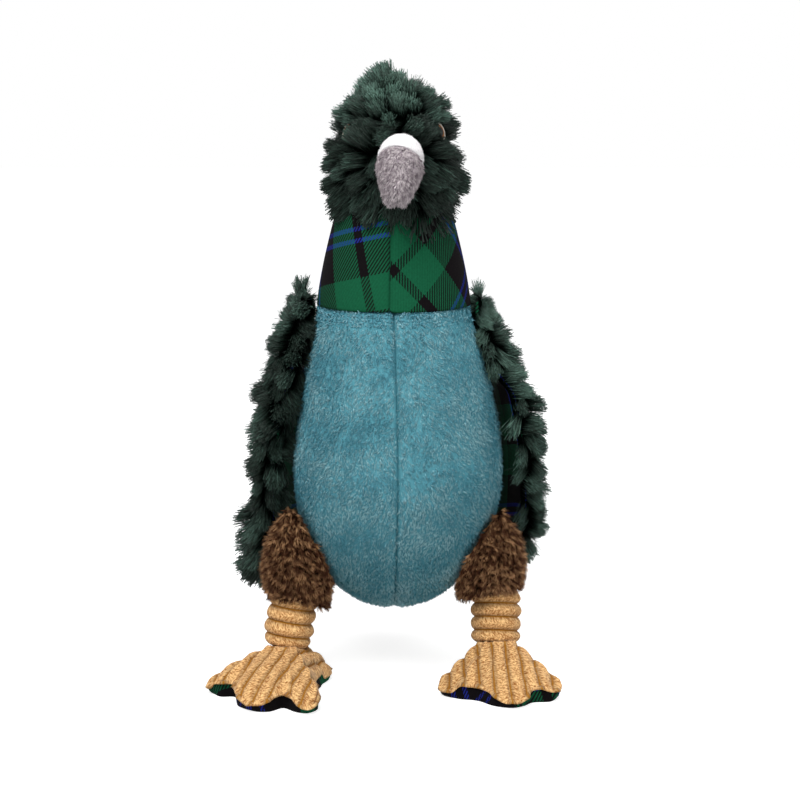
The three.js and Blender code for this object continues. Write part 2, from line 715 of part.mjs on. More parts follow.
// A wing's surface at an offset from the middle of its thickness. The shares run from its front edge to
// its back edge and from its top to its tip; the offset is given for the full thickness of the pillow.
function wingSurface(offset, width = 1) {
  return (u, v) => {
    const across = width * (2 * cosineShare(u) - 1);
    const top = WING_TOP * width;
    const length = top + WING_LENGTH * width;
    const fall = length * cosineShare(v) - top;
    const share = fall / WING_LENGTH;
    const height = WING_HINGE - fall;
    const along = Math.max(share, 0);
    const y = WING_BACK + WING_SWEEP * along ** WING_SWEEP_POWER + wingHalfWidth(share) * across;
    const hug = roundedEdge(fall, WING_HUG_START) * y * y / (2 * WING_HUG_RADIUS);
    const edge = Math.sqrt(1 - (across / width) ** 4);
    const full = edge * roundedEdge(fall + top, top) * roundedEdge(length - top - fall, WING_TIP_ROUND);
    return new THREE.Vector3(wingMiddle(height) - hug + offset(along, full), y, height);
  };
}

function wingLayer(outer, inner, width) {
  return layer(wingSurface(outer, width), wingSurface(inner, width), WING_COLUMNS, WING_ROWS);
}

function addWing(torso, side, label) {
  const hinge = new THREE.Vector3(side * wingMiddle(WING_HINGE), 0, WING_HINGE);
  const body = bodyAt(torso, hinge);
  const half = SEAM_GAP / 2;
  const pile = (along) => WING_OUTER_TOP + (WING_OUTER_LOW - WING_OUTER_TOP) * along;
  const fur = wingLayer((along, full) => half + pile(along) * full, () => half);
  const lining = wingLayer(
    (along, full) => -half - LINING_SHARE * WING_INNER * full,
    (along, full) => -half - WING_INNER * full,
  );
  const padding = wingLayer(
    () => -half - PADDING_DEPTH,
    (along, full) => -half - PADDING_DEPTH - PADDING_SHARE * WING_INNER * full,
    PADDING_WIDTH,
  );
  addPlaced(body, `wing_fur_${label}`, sided(fur, side), FINISH.greenFur);
  addPlaced(body, `wing_lining_${label}`, sided(lining, side), FINISH.tartan);
  addPlaced(body, `wing_padding_${label}`, sided(padding, side), FINISH.stuffing);
}

// Tail

function tailSurface(offset) {
  const slope = radians(TAIL_SLOPE);
  return (u, v) => {
    const across = 2 * cosineShare(u) - 1;
    const along = TAIL_LENGTH * cosineShare(v);
    const share = along / TAIL_LENGTH;
    const fan = TAIL_ROOT_HALF_WIDTH + (TAIL_HALF_WIDTH - TAIL_ROOT_HALF_WIDTH) * share;
    const halfWidth = fan * roundedEdge(TAIL_LENGTH - along, TAIL_TIP_ROUND);
    const root = roundedEdge(along, TAIL_HALF_THICKNESS);
    const tip = roundedEdge(TAIL_LENGTH - along, TAIL_HALF_THICKNESS);
    const lift = offset(Math.sqrt(1 - across ** 4) * root * tip);
    const back = along - TAIL_HALF_THICKNESS;
    const y = back * Math.cos(slope) + lift * Math.sin(slope);
    const z = lift * Math.cos(slope) - back * Math.sin(slope);
    return new THREE.Vector3(halfWidth * across, y, z);
  };
}

function addTail(torso) {
  const height = TORSO_BOTTOM + TAIL_RISE;
  const clear = TAIL_HALF_THICKNESS + SWING_GAP;
  const surface = torsoAxis(height)[1] + torsoRadius(height);
  const body = bodyAt(torso, new THREE.Vector3(0, surface + clear, height));
  const half = SEAM_GAP / 2;
  const fur = layer(
    tailSurface((full) => half + TAIL_HALF_THICKNESS * full),
    tailSurface(() => half),
    WING_COLUMNS,
    TAIL_ROWS,
  );
  const lining = layer(
    tailSurface(() => -half),
    tailSurface((full) => -half - TAIL_HALF_THICKNESS * full),
    WING_COLUMNS,
    TAIL_ROWS,
  );
  addPiece(body, 'tail_fur', fur, FINISH.greenFur);
  addPiece(body, 'tail_lining', lining, FINISH.tartan);
}

// Legs

const HIP_REACH = torsoRadius(HIP_HEIGHT) + HIP_OUT;
const HIP = new THREE.Vector3(
  HIP_REACH * Math.sin(radians(HIP_TURN)),
  torsoAxis(HIP_HEIGHT)[1] - HIP_REACH * Math.cos(radians(HIP_TURN)),
  HIP_HEIGHT,
);
const KNEE = new THREE.Vector3(ANKLE_SPREAD, -ANKLE_FORWARD, KNEE_HEIGHT);
const ANKLE = new THREE.Vector3(ANKLE_SPREAD, -ANKLE_FORWARD, ANKLE_HEIGHT);
const ANKLE_SOCKET = ANKLE_GROOVE_RADIUS + SWING_GAP;
const ANKLE_SWEEP = Math.hypot(ANKLE_CREST_RADIUS, WALE_PITCH / 2);
const CREST_SLOPE = Math.atan(WALE_PITCH / 2 / ANKLE_CREST_RADIUS);
const ANKLE_DIP = ANKLE_SWEEP * Math.sin(radians(ANKLE_TILT) - CREST_SLOPE);
const KNEE_RISE = ANKLE_SWEEP * Math.sin(radians(ANKLE_TILT));

// The thigh is a drop: a point at the hip, widest low down, drawn in a little to its flat hem
function thighRadius(drop) {
  if (drop > THIGH_WIDEST) {
    const taper = (drop - THIGH_WIDEST) / (THIGH_LENGTH - THIGH_WIDEST);
    return THIGH_RADIUS + (HEM_RADIUS - THIGH_RADIUS) * taper * taper;
  }
  const share = (drop + THIGH_TOP) / (THIGH_WIDEST + THIGH_TOP);
  return THIGH_RADIUS * Math.sin(Math.PI / 2 * Math.max(share, 0) ** THIGH_POWER);
}

function thighProfile(share) {
  const drop = THIGH_LENGTH - (THIGH_LENGTH + THIGH_TOP) * share;
  return [share === 1 ? 0 : thighRadius(drop), HIP_HEIGHT - drop];
}

function thighAxis(height) {
  const share = (HIP_HEIGHT - height) / (HIP_HEIGHT - KNEE_HEIGHT);
  return [HIP.x + (KNEE.x - HIP.x) * share, HIP.y + (KNEE.y - HIP.y) * share];
}

const thighForm = swollen(thighProfile, () => 1, thighAxis);

// What the thigh has to clear: the torso at every swing of the hip, and the ankle's ball and rings
function thighCutters() {
  const hipLine = new THREE.Vector3(-Math.cos(radians(HIP_SPLAY)), -Math.sin(radians(HIP_SPLAY)), 0);
  const cutters = [];
  for (let step = 0; step < HIP_STEPS; step += 1) {
    const swing = radians(HIP_RANGE) * step / (HIP_STEPS - 1);
    const back = new THREE.Quaternion().setFromAxisAngle(hipLine, -swing);
    const torso = torsoCutter(HIP_GAP).translate(-HIP.x, -HIP.y, -HIP.z);
    cutters.push(torso.applyQuaternion(back).translate(HIP.x, HIP.y, HIP.z));
  }
  const ceiling = KNEE_HEIGHT + KNEE_RISE + SWING_GAP;
  const rings = shaft(ANKLE_SWEEP + SWING_GAP, HEM_HEIGHT - THIGH_LENGTH, ceiling);
  cutters.push(ball(KNEE, ANKLE_SOCKET, SOCKET_COLUMNS), rings.translate(KNEE.x, KNEE.y, 0));
  return cutters;
}

function thighFur(cutters) {
  const outer = (u, v) => thighForm(v, u * 2 * Math.PI);
  const inner = (u, v) => thighForm(v, u * 2 * Math.PI, THIGH_FUR);
  return cut(layer(outer, inner, THIGH_COLUMNS, THIGH_ROWS, true), cutters);
}

function thighStuffing(cutters) {
  const surface = (u, row) => {
    const point = thighForm(Math.max(row - 1, 0) / THIGH_ROWS, u * 2 * Math.PI, THIGH_FUR + SEAM_GAP);
    const [x, y] = thighAxis(HEM_HEIGHT);
    return row === 0 ? new THREE.Vector3(x, y, point.z) : point;
  };
  return cut(lump(surface, THIGH_COLUMNS, THIGH_ROWS + 1), cutters);
}

// An arc of the ball at one end of the ankle, between two radii, about a level on its axis
function ankleArc(from, to, level, sign) {
  const arc = [];
  for (let i = 0; i < RING_STEPS; i += 1) {
    const radius = from + (to - from) * i / (RING_STEPS - 1);
    arc.push([radius, level + sign * Math.sqrt(ANKLE_GROOVE_RADIUS ** 2 - radius ** 2)]);
  }
  return arc;
}

// The sleeve has one ring for each wale, between the balls at its two ends, and is open at both ends
function ankleSleeve() {
  const bore = ANKLE_GROOVE_RADIUS - CORDUROY;
  const length = ANKLE_RINGS * WALE_PITCH;
  const profile = ankleArc(bore, ANKLE_GROOVE_RADIUS, 0, -1);
  for (let i = 1; i < ANKLE_RINGS * RING_STEPS; i += 1) {
    const swell = Math.sqrt(Math.abs(Math.sin(Math.PI * i / RING_STEPS)));
    const radius = ANKLE_GROOVE_RADIUS + (ANKLE_CREST_RADIUS - ANKLE_GROOVE_RADIUS) * swell;
    profile.push([radius, length * i / (ANKLE_RINGS * RING_STEPS)]);
  }
  profile.push(...ankleArc(ANKLE_GROOVE_RADIUS, bore, length, 1), profile[0]);
  return turned(profile, ANKLE_COLUMNS);
}

function ankleStuffing() {
  const radius = ANKLE_GROOVE_RADIUS - CORDUROY - SEAM_GAP;
  const length = ANKLE_RINGS * WALE_PITCH;
  return turned([...ankleArc(0, radius, 0, -1), ...ankleArc(radius, 0, length, 1)], ANKLE_COLUMNS);
}

function footOutline() {
  const side = [HEEL_SIDE, FOOT_SIDE, OUTER_TOE_SIDE, OUTER_TOE_TIP, TOE_VALLEY, MIDDLE_TOE_SIDE];
  const left = side.map(([x, y]) => new THREE.Vector3(x, y, 0));
  const right = side.map(([x, y]) => new THREE.Vector3(-x, y, 0)).reverse();
  const heel = new THREE.Vector3(0, FOOT_HEEL, 0);
  const toe = new THREE.Vector3(0, -FOOT_TOE, 0);
  return new THREE.CatmullRomCurve3([heel, ...left, toe, ...right], true, 'centripetal');
}

const outline = footOutline();

// A point of the foot at a share from the ankle's axis to the outline, drawn in from the outline by an inset
function footPoint(u, share, inset, level) {
  const edge = outline.getPoint(u % 1);
  const reach = edge.length();
  const point = edge.multiplyScalar((reach - inset) / reach * share);
  return point.setZ(level(share));
}

function footTop(thickness) {
  const rise = ANKLE_HEIGHT - FOOT_SEAM - thickness;
  return (share) => FOOT_SEAM + rise * (1 - share ** FOOT_SLOPE_POWER) ** FOOT_ROUND_POWER;
}

function footBottom(thickness) {
  const rim = FOOT_SEAM - SEAM_GAP;
  const turnUp = (share) => (Math.max(share - SOLE_FLAT, 0) / (1 - SOLE_FLAT)) ** 2;
  return (share) => thickness + (rim - thickness) * turnUp(share);
}

function edgeShare(share) {
  return Math.sin(share * Math.PI / 2);
}

function footSocket() {
  const level = ANKLE_HEIGHT - ANKLE_DIP - SWING_GAP;
  const rings = shaft(ANKLE_SWEEP + SWING_GAP, level, level + ANKLE_HEIGHT);
  return [ball(new THREE.Vector3(0, 0, ANKLE_HEIGHT), ANKLE_SOCKET, SOCKET_COLUMNS), rings];
}

function footUpper() {
  const outer = (u, v) => footPoint(u, edgeShare(v), 0, footTop(0));
  const inner = (u, v) => footPoint(u, edgeShare(v), CORDUROY, footTop(CORDUROY));
  return cut(layer(outer, inner, FOOT_COLUMNS, FOOT_ROWS, true), footSocket());
}

function footSole() {
  const outer = (u, v) => footPoint(u, edgeShare(v), 0, footBottom(0));
  const inner = (u, v) => footPoint(u, edgeShare(v), CORDUROY, footBottom(TARTAN));
  return layer(outer, inner, FOOT_COLUMNS, SOLE_ROWS, true);
}

function footStuffing() {
  const inset = CORDUROY + SEAM_GAP;
  const bottom = footBottom(TARTAN + SEAM_GAP);
  const top = footTop(CORDUROY + SEAM_GAP);
  const surface = (u, row) => {
    const low = row <= SOLE_ROWS;
    const share = edgeShare(low ? row / SOLE_ROWS : 1 - (row - SOLE_ROWS - 1) / FOOT_ROWS);
    return footPoint(u, share, inset, low ? bottom : (at) => top(at) - SEAM_GAP);
  };
  return cut(lump(surface, FOOT_COLUMNS, SOLE_ROWS + 1 + FOOT_ROWS), footSocket());
}

function addLeg(torso, side, label, toeOut) {
  const hip = HIP.clone().setX(side * HIP.x);
  const knee = KNEE.clone().setX(side * KNEE.x);
  const ankle = ANKLE.clone().setX(side * ANKLE.x);
  const cutters = thighCutters();
  const thigh = bodyAt(torso, hip);
  addPlaced(thigh, `thigh_fur_${label}`, sided(thighFur(cutters), side), FINISH.brownFur);
  addPlaced(thigh, `thigh_stuffing_${label}`, sided(thighStuffing(cutters), side), FINISH.stuffing);
  const shank = bodyAt(thigh, knee);
  const sink = -ANKLE_RINGS * WALE_PITCH;
  addPiece(shank, `ankle_sleeve_${label}`, ankleSleeve().translate(0, 0, sink), FINISH.corduroy);
  addPiece(shank, `ankle_stuffing_${label}`, ankleStuffing().translate(0, 0, sink), FINISH.stuffing);
  const foot = bodyAt(shank, ankle);
  foot.rotation.z = side * radians(toeOut);
  addPiece(foot, `foot_upper_${label}`, footUpper().translate(0, 0, -ANKLE_HEIGHT), FINISH.corduroy);
  addPiece(foot, `foot_sole_${label}`, footSole().translate(0, 0, -ANKLE_HEIGHT), FINISH.tartan);
  addPiece(foot, `foot_stuffing_${label}`, footStuffing().translate(0, 0, -ANKLE_HEIGHT), FINISH.stuffing);
}

// The toy, moved so that the middle of its underside is the origin

const toy = new THREE.Group();
const torso = bodyAt(toy, new THREE.Vector3());
addTorso(torso);
const neck = bodyAt(torso, NECK_PIVOT);
addNeck(neck);
addHead(bodyAt(neck, HEAD_PIVOT));
addWing(torso, 1, 'left');
addWing(torso, -1, 'right');
addTail(torso);
addLeg(torso, 1, 'left', LEFT_TOE_OUT);
addLeg(torso, -1, 'right', RIGHT_TOE_OUT);

const box = new THREE.Box3().setFromObject(toy, true);
toy.position.set(-(box.min.x + box.max.x) / 2, -(box.min.y + box.max.y) / 2, -box.min.z);

export default toy;
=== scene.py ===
"""Plush bird dog toy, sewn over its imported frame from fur, plush, tartan and corduroy.

Metres, +Z up. The bird looks along -Y; left and right are its own, so its left side is +X.
"""

import json
import math

import bmesh
import bpy
import numpy as np
from bpy.props import FloatProperty, FloatVectorProperty, IntProperty, PointerProperty
from bpy.types import Operator, Panel, PropertyGroup
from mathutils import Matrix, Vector, noise
from mathutils.kdtree import KDTree


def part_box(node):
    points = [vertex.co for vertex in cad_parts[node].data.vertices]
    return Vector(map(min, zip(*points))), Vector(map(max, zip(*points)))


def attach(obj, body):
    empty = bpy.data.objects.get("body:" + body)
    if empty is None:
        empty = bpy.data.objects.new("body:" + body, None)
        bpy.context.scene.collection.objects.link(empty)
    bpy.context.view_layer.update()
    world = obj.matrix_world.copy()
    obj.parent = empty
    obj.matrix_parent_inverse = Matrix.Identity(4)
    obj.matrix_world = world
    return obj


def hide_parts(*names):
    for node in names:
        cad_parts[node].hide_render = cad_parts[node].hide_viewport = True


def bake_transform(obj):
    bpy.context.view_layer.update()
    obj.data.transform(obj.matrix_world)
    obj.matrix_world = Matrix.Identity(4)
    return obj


bl_info = {
    "name": "Plush Bird Toy",
    "version": (1, 0, 0),
    "blender": (4, 5, 0),
    "location": "3D View > Sidebar > Bird Toy",
    "description": "Sews a plush bird dog toy over its packed frame",
    "category": "Object",
}

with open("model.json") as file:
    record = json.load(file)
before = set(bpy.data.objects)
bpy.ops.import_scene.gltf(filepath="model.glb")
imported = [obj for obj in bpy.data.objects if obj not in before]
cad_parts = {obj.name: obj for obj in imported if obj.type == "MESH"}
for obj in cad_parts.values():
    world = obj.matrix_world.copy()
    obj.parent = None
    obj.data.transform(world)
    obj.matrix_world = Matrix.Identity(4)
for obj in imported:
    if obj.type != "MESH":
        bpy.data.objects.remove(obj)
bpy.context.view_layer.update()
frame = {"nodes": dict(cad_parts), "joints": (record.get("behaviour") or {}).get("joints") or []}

MM = 0.001
JOINTS = {joint["name"]: np.array(joint["pos_m"]) for joint in frame["joints"]}
SIDES = {"left": 1, "right": -1}
DOWN = np.array([0.0, 0.0, -1.0])
TINY = 1e-9
SAME_PLACE = 1e-6
NO_AREA = 1e-7


# Settings that a user would change


def linear(code):
    """Linear colour of an sRGB hex code."""
    parts = [int(code[i : i + 2], 16) / 255 for i in (0, 2, 4)]
    return [c / 12.92 if c <= 0.04045 else ((c + 0.055) / 1.055) ** 2.4 for c in parts]


def length(name, about, millimetres):
    return FloatProperty(name=name, description=about, default=millimetres * MM, unit="LENGTH", precision=4)


def angle(name, about, degrees):
    return FloatProperty(name=name, description=about, default=math.radians(degrees), subtype="ANGLE")


def factor(name, about, value):
    return FloatProperty(name=name, description=about, default=value, subtype="FACTOR")


def count(name, about, number):
    return IntProperty(name=name, description=about, default=number, min=1)


def colour(name, about, code):
    return FloatVectorProperty(name=name, description=about, default=linear(code), size=3, subtype="COLOR")


class BodySizes(PropertyGroup):
    half_width: length("Half width", "Half the width of the belly", 51)
    belly_drop: length("Belly drop", "From the widest level down to the bottom", 72)
    bulge: factor("Belly bulge", "How far the belly swells forward, as a share of its radius", 0.1)
    lean: length("Lean", "How far the neck stands forward of the bottom", 6)
    sway: length("Sway", "How far the belly hangs to the bird's left", 2)
    breast_turn: angle("Breast turn", "From the front seam to the edge of the breast", 108)
    seam_depth: length("Seam depth", "How deep the seams draw the cloth in", 2.6)
    seam_width: length("Seam width", "How far from a seam the cloth is drawn in", 5)
    plush: length("Plush", "Thickness of the breast's backing cloth", 1.2)
    cloth: length("Cloth", "Thickness of the tartan", 0.9)


class NeckSizes(PropertyGroup):
    seam_radius: length("Seam radius", "Radius of the seam between body and neck", 36.5)
    top_radius: length("Top radius", "Radius of the neck under the head", 28)
    height: length("Height", "Height of the neck's cone", 42)
    power: factor("Hollow", "How the cone draws in toward its top", 1.35)
    bias_turn: angle("Bias", "How far the left front panel's grain is turned", 45)
    square_turn: angle("Square", "How far the right front panel's grain is turned", 12)


class HeadSizes(PropertyGroup):
    radius: length("Radius", "Radius at the widest level, over the pile", 32)
    crown: length("Crown", "From the widest level up to the top", 49)
    chin: length("Chin", "From the widest level down to the chin", 24)
    chin_hang: length("Chin hang", "How much lower the fur hangs at the front", 7)
    face_depth: factor("Face depth", "Depth of the face against the radius", 1.06)
    nape_depth: factor("Nape depth", "Depth of the nape against the radius", 1.03)
    backing: length("Backing", "How deep the backing cloth lies under the pile", 6.4)


class BeakSizes(PropertyGroup):
    half_width: length("Half width", "Half the width of the beak at its root", 12.2)
    half_height: length("Half height", "Half the height of the beak at its root", 13)
    reach: length("Reach", "How far the tip stands out from the face", 24)
    curl: length("Curl", "How far the brow of the beak lies behind its tip", 6)
    root_rise: length("Root rise", "Height of the root over the head's middle", 9.2)
    brow_rise: length("Brow rise", "Height of the brow over the head's middle", 11.6)
    tip_drop: length("Tip drop", "Depth of the tip under the head's middle", 14)
    upper_turn: angle("Upper turn", "From the top of the beak to its side seams", 100)
    root_aside: length("Root aside", "How far the beak's root lies to the bird's left", 3.4)
    tip_aside: length("Tip aside", "How far the beak's tip lies to the bird's left", 0.8)
    notch: length("Notch", "Depth of the notch in the tip", 2)
    cere: factor("Cere", "Share of the beak's length that the white cere covers", 0.475)
    cere_skew: factor("Cere skew", "How much further the cere reaches on the bird's left", 0.04)


class WingSizes(PropertyGroup):
    length: length("Length", "From the shoulder down to the tip", 136)
    half_width: length("Half width", "Half the width at the widest level", 31)
    shoulder_half_width: length("Shoulder half width", "Half the width at the shoulder", 18)
    widest: factor("Widest", "Share of the length where the wing is widest", 0.4)
    inner: length("Inner", "Swell of the lining toward the body", 7)
    outer_top: length("Outer, top", "Swell of the fur side at the shoulder", 9)
    outer_low: length("Outer, low", "Swell of the fur side at the tip", 13)
    top: length("Top", "Height of the wing over its hinge", 7)
    tip_round: length("Tip round", "How far from the tip the wing thins", 30)
    back: length("Back", "How far the shoulder lies behind the hinge", 6)
    sweep: length("Sweep", "How far the tip lies behind the shoulder", 26)
    hug_radius: length("Hug radius", "Radius of the wing's wrap about the body", 75)
    backing: length("Backing", "How deep the backing cloth lies under the pile", 6)
    flare: length("Flare", "How far the right wing's tip stands out", 4.5)
    wrap: length("Wrap", "How far the fur folds round the front edge", 9)
    lining: factor("Lining", "Swell of the lining against the room that it has", 0.7)
    top_tuck: length("Top tuck", "How far the shoulder of the fur is tucked in to the neck", 5.5)
    open_flare: length("Open flare", "How far the left wing's front edge stands open", 5)


class TailSizes(PropertyGroup):
    length: length("Length", "Length of the tail", 48)
    half_width: length("Half width", "Half the width near the tip", 26)
    root_half_width: length("Root half width", "Half the width at the root", 20)
    half_thickness: length("Half thickness", "Half the thickness of the pillow", 5)
    slope: angle("Slope", "How far the tail slopes down", 30)
    tip_round: length("Tip round", "How far from the tip the outline rounds", 22)


class LegSizes(PropertyGroup):
    thigh_length: length("Thigh length", "From the hip down to the hem", 42)
    thigh_top: length("Thigh top", "Height of the thigh over the hip", 5)
    thigh_radius: length("Thigh radius", "Radius at the widest level, over the pile", 16.3)
    thigh_widest: length("Thigh widest", "From the hip down to the widest level", 30)
    hem_radius: length("Hem radius", "Radius of the hem, over the pile", 15.5)
    flap: length("Flap", "How far the thigh laps over the front of the belly", 6)
    thigh_backing: length("Thigh backing", "How deep the backing cloth lies under the pile", 2.2)
    wale: length("Wale", "Spacing of the corduroy's wales", 6.7)
    ankle_radius: length("Ankle radius", "Radius of the ankle over its rings", 12.1)
    groove: length("Groove", "Depth of the grooves between the wales", 2.3)
    foot_seam: length("Foot seam", "Height of the seam round the sole at the toes", 2.8)
    web_lift: length("Web lift", "How far that seam rises between the toes", 3.7)


class PileSizes(PropertyGroup):
    head: length("Head pile", "Length of the pile on the head", 11)
    wing: length("Wing pile", "Length of the pile on the wings and tail", 12)
    thigh: length("Thigh pile", "Length of the pile on the thighs", 3.8)
    breast: length("Breast pile", "Length of the plush on the breast", 2.2)
    beak: length("Beak pile", "Length of the plush on the beak", 2.6)
    head_strands: count("Head strands", "Strands on a square centimetre of the head", 420)
    wing_strands: count("Wing strands", "Strands on a square centimetre of the wings and tail", 175)
    thigh_strands: count("Thigh strands", "Strands on a square centimetre of thigh", 620)
    plush_strands: count("Plush strands", "Strands on a square centimetre of plush", 300)
    seed: count("Seed", "Seed of everything random", 7)


class ClothColours(PropertyGroup):
    # Root and deep colours lie down in each pile by its backing; where they are darker than the tips, they
    # are painted shade between the strands
    fur_root_shade: colour("Fur root", "Green fur at its root", "010302")
    fur_tip: colour("Fur tip", "Green fur at its tip", "0c1d15")
    fur_light: colour("Fur light", "Lightest tips of the green fur", "66887a")
    # Painted shade down in the brown pile
    thigh_root_shade: colour("Thigh root", "Brown fur at its root", "150a05")
    thigh_tip: colour("Thigh tip", "Brown fur at its tip", "56301a")
    thigh_light: colour("Thigh light", "Tan tips of the brown fur", "ffc690")
    # Painted shade down in the teal plush
    breast_deep: colour("Breast, deep", "Teal plush down in its pile", "4f8995")
    breast: colour("Breast", "Teal plush at its tips", "5597aa")
    breast_light: colour("Breast, light", "Lightest tips of the teal plush", "b3dce3")
    beak_deep: colour("Beak, deep", "Grey plush down in its pile", "8c8088")
    beak: colour("Beak", "Grey plush at its tips", "8f8289")
    beak_light: colour("Beak, light", "Lightest tips of the grey plush", "fff5f7")
    cere: colour("Cere", "White plush of the cere", "fbf9fa")
    tartan_green: colour("Tartan green", "Green yarn", "114d33")
    tartan_black: colour("Tartan black", "Black yarn", "0d0a0c")
    tartan_blue: colour("Tartan blue", "Blue yarn", "1c277c")
    corduroy: colour("Corduroy", "Crest of the wales", "f0c589")
    corduroy_deep: colour("Corduroy, deep", "Specks in the pile of the wales", "905823")
    corduroy_groove: colour("Corduroy groove", "Ground between the wales", "9a6618")
    felt_white: colour("White felt", "White of the eyes", "e6ded2")
    felt_amber: colour("Amber felt", "Iris of the eyes", "8a5526")
    felt_black: colour("Black felt", "Pupil of the eyes", "0e0c0c")
    plastic: colour("Plastic", "Plastic of the squeaker", "e6e3d8")


class BirdToySettings(PropertyGroup):
    body: PointerProperty(type=BodySizes)
    neck: PointerProperty(type=NeckSizes)
    head: PointerProperty(type=HeadSizes)
    beak: PointerProperty(type=BeakSizes)
    wing: PointerProperty(type=WingSizes)
    tail: PointerProperty(type=TailSizes)
    leg: PointerProperty(type=LegSizes)
    pile: PointerProperty(type=PileSizes)
    colours: PointerProperty(type=ClothColours)


# Places that come from the frame

NECK_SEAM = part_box("breast_panel_left")[1].z
BODY_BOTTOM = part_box("breast_panel_left")[0].z
NECK_PIVOT = JOINTS["neck_nod"]
HEAD_PIVOT = JOINTS["head_turn"]
HEAD_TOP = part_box("head_panel_left")[1].z
MIDDLE_X = NECK_PIVOT[0]
NECK_Y = NECK_PIVOT[1]


# Grids of points, and the meshes made from them


def smooth_step(values):
    share = np.clip(values, 0, 1)
    return share * share * (3 - 2 * share)


def rounded(distance, reach):
    """Rounds a pillow off toward an edge: 0 on the edge, 1 from the given distance on."""
    open_share = 1 - np.clip(distance / reach, 0, 1)
    return np.sqrt(1 - open_share**2)


def unit(vectors):
    return vectors / np.maximum(np.linalg.norm(vectors, axis=-1, keepdims=True), TINY)


def slopes(grid, wrap):
    """Steps along the columns and the rows of a grid, by central differences."""
    if wrap:
        across = np.roll(grid, -1, 1) - np.roll(grid, 1, 1)
    else:
        across = np.gradient(grid, axis=1)
    return across, np.gradient(grid, axis=0)


def outward(grid, wrap=False, middle=None):
    """Unit normals of a grid, pointing away from a middle point or line of points."""
    across, along = slopes(grid, wrap)
    normals = unit(np.cross(across, along))
    away = grid - (grid.mean((0, 1)) if middle is None else middle)
    flip = np.sign(np.sum(normals * away, axis=-1).mean())
    normals = normals * (flip if flip else 1)
    weak = np.linalg.norm(normals, axis=-1) < 0.5
    normals[weak] = unit(away[weak])
    return normals


def refined(grid, times, wrap=False):
    """A grid with more rows and columns, on smooth curves through its points."""
    for axis in (0, 1):
        points = np.moveaxis(grid, axis, 0)
        ring = wrap and axis == 1
        size = len(points)
        if ring:
            padded = np.concatenate([points[-1:], points, points[:2]])
            spans = size
        else:
            padded = np.concatenate([2 * points[:1] - points[1:2], points, 2 * points[-1:] - points[-2:-1]])
            spans = size - 1
        places = np.arange(spans * times + (0 if ring else 1)) / times
        first = np.minimum(places.astype(int), spans - 1)
        t = (places - first).reshape(-1, *[1] * (points.ndim - 1))
        p0, p1, p2, p3 = (padded[first + i] for i in range(4))
        bend = 2 * p0 - 5 * p1 + 4 * p2 - p3 + t * (3 * (p1 - p2) + p3 - p0)
        curve = p1 + 0.5 * t * (p2 - p0 + t * bend)
        grid = np.moveaxis(curve, 0, axis)
    return grid


def flat_cloth(grid, wrap=False):
    """The cloth's own coordinates over a grid: the length across and along it, from its first corner."""
    looped = np.concatenate([grid, grid[:, :1]], 1) if wrap else grid
    across = np.linalg.norm(np.diff(looped, axis=1), axis=-1)
    along = np.linalg.norm(np.diff(looped, axis=0), axis=-1)
    u = np.concatenate([np.zeros((len(looped), 1)), np.cumsum(across, 1)], 1)
    v = np.concatenate([np.zeros((1, looped.shape[1])), np.cumsum(along, 0)])
    return np.stack([u, v], -1)


def turned_cloth(cloth, turn, start=(0, 0)):
    """Cloth coordinates with the grain turned, from a starting point on the cloth."""
    u, v = cloth[..., 0] - start[0], cloth[..., 1] - start[1]
    cosine, sine = math.cos(turn), math.sin(turn)
    return np.stack([u * cosine + v * sine, v * cosine - u * sine], -1)


def quads(places, wrap):
    """Corner numbers of the faces of a grid of vertex numbers."""
    right = np.roll(places, -1, 1) if wrap else places[:, 1:]
    left = places if wrap else places[:, :-1]
    return np.stack([left[:-1], right[:-1], right[1:], left[1:]], -1).reshape(-1, 4)


def new_piece(name, points, faces, cloth, material):
    """A mesh object from points and faces, with each face corner's place on the cloth as a UV map."""
    mesh = bpy.data.meshes.new(name)
    mesh.from_pydata(points.tolist(), [], faces.tolist())
    uv_map = mesh.uv_layers.new(name="Cloth")
    uv_map.data.foreach_set("uv", np.asarray(cloth, np.float32).ravel())
    mesh.materials.append(material)
    piece = bpy.data.objects.new(name, mesh)
    bpy.context.scene.collection.objects.link(piece)
    return piece


def closed(piece):
    """Merges a piece's doubled corners, drops faces with no area and turns its faces outward."""
    work = bmesh.new()
    work.from_mesh(piece.data)
    bmesh.ops.remove_doubles(work, verts=work.verts, dist=SAME_PLACE)
    bmesh.ops.dissolve_degenerate(work, edges=work.edges, dist=NO_AREA)
    bmesh.ops.recalc_face_normals(work, faces=work.faces)
    for face in work.faces:
        face.smooth = True
    work.to_mesh(piece.data)
    work.free()
    return piece


def layer(name, outer, inner, cloth, material, wrap=False):
    """A closed layer between two grids of points, with its cloth's coordinates as a UV map."""
    rows, columns = outer.shape[:2]
    points = np.concatenate([outer.reshape(-1, 3), inner.reshape(-1, 3)])
    places = np.arange(rows * columns).reshape(rows, columns)
    back = places + rows * columns
    faces = [quads(places, wrap), quads(back, wrap)]
    spots = np.arange(cloth.shape[0] * cloth.shape[1]).reshape(cloth.shape[:2])
    corners = [quads(spots, False), quads(spots, False)]
    for row in (0, rows - 1):
        faces.append(quads(np.stack([places[row], back[row]]), wrap))
        corners.append(quads(np.stack([spots[row], spots[row]]), False))
    for column in () if wrap else (0, columns - 1):
        faces.append(quads(np.stack([places[:, column], back[:, column]]), False))
        corners.append(quads(np.stack([spots[:, column], spots[:, column]]), False))
    uv = cloth.reshape(-1, 2)[np.concatenate(corners).ravel()]
    return closed(new_piece(name, points, np.concatenate(faces), uv, material))


def lump(name, grid, cloth, material):
    """A closed piece from a grid that wraps round, whose first and last rows are each one point."""
    places = np.arange(grid.shape[0] * grid.shape[1]).reshape(grid.shape[:2])
    spots = np.arange(cloth.shape[0] * cloth.shape[1]).reshape(cloth.shape[:2])
    uv = cloth.reshape(-1, 2)[quads(spots, False).ravel()]
    return closed(new_piece(name, grid.reshape(-1, 3), quads(places, True), uv, material))


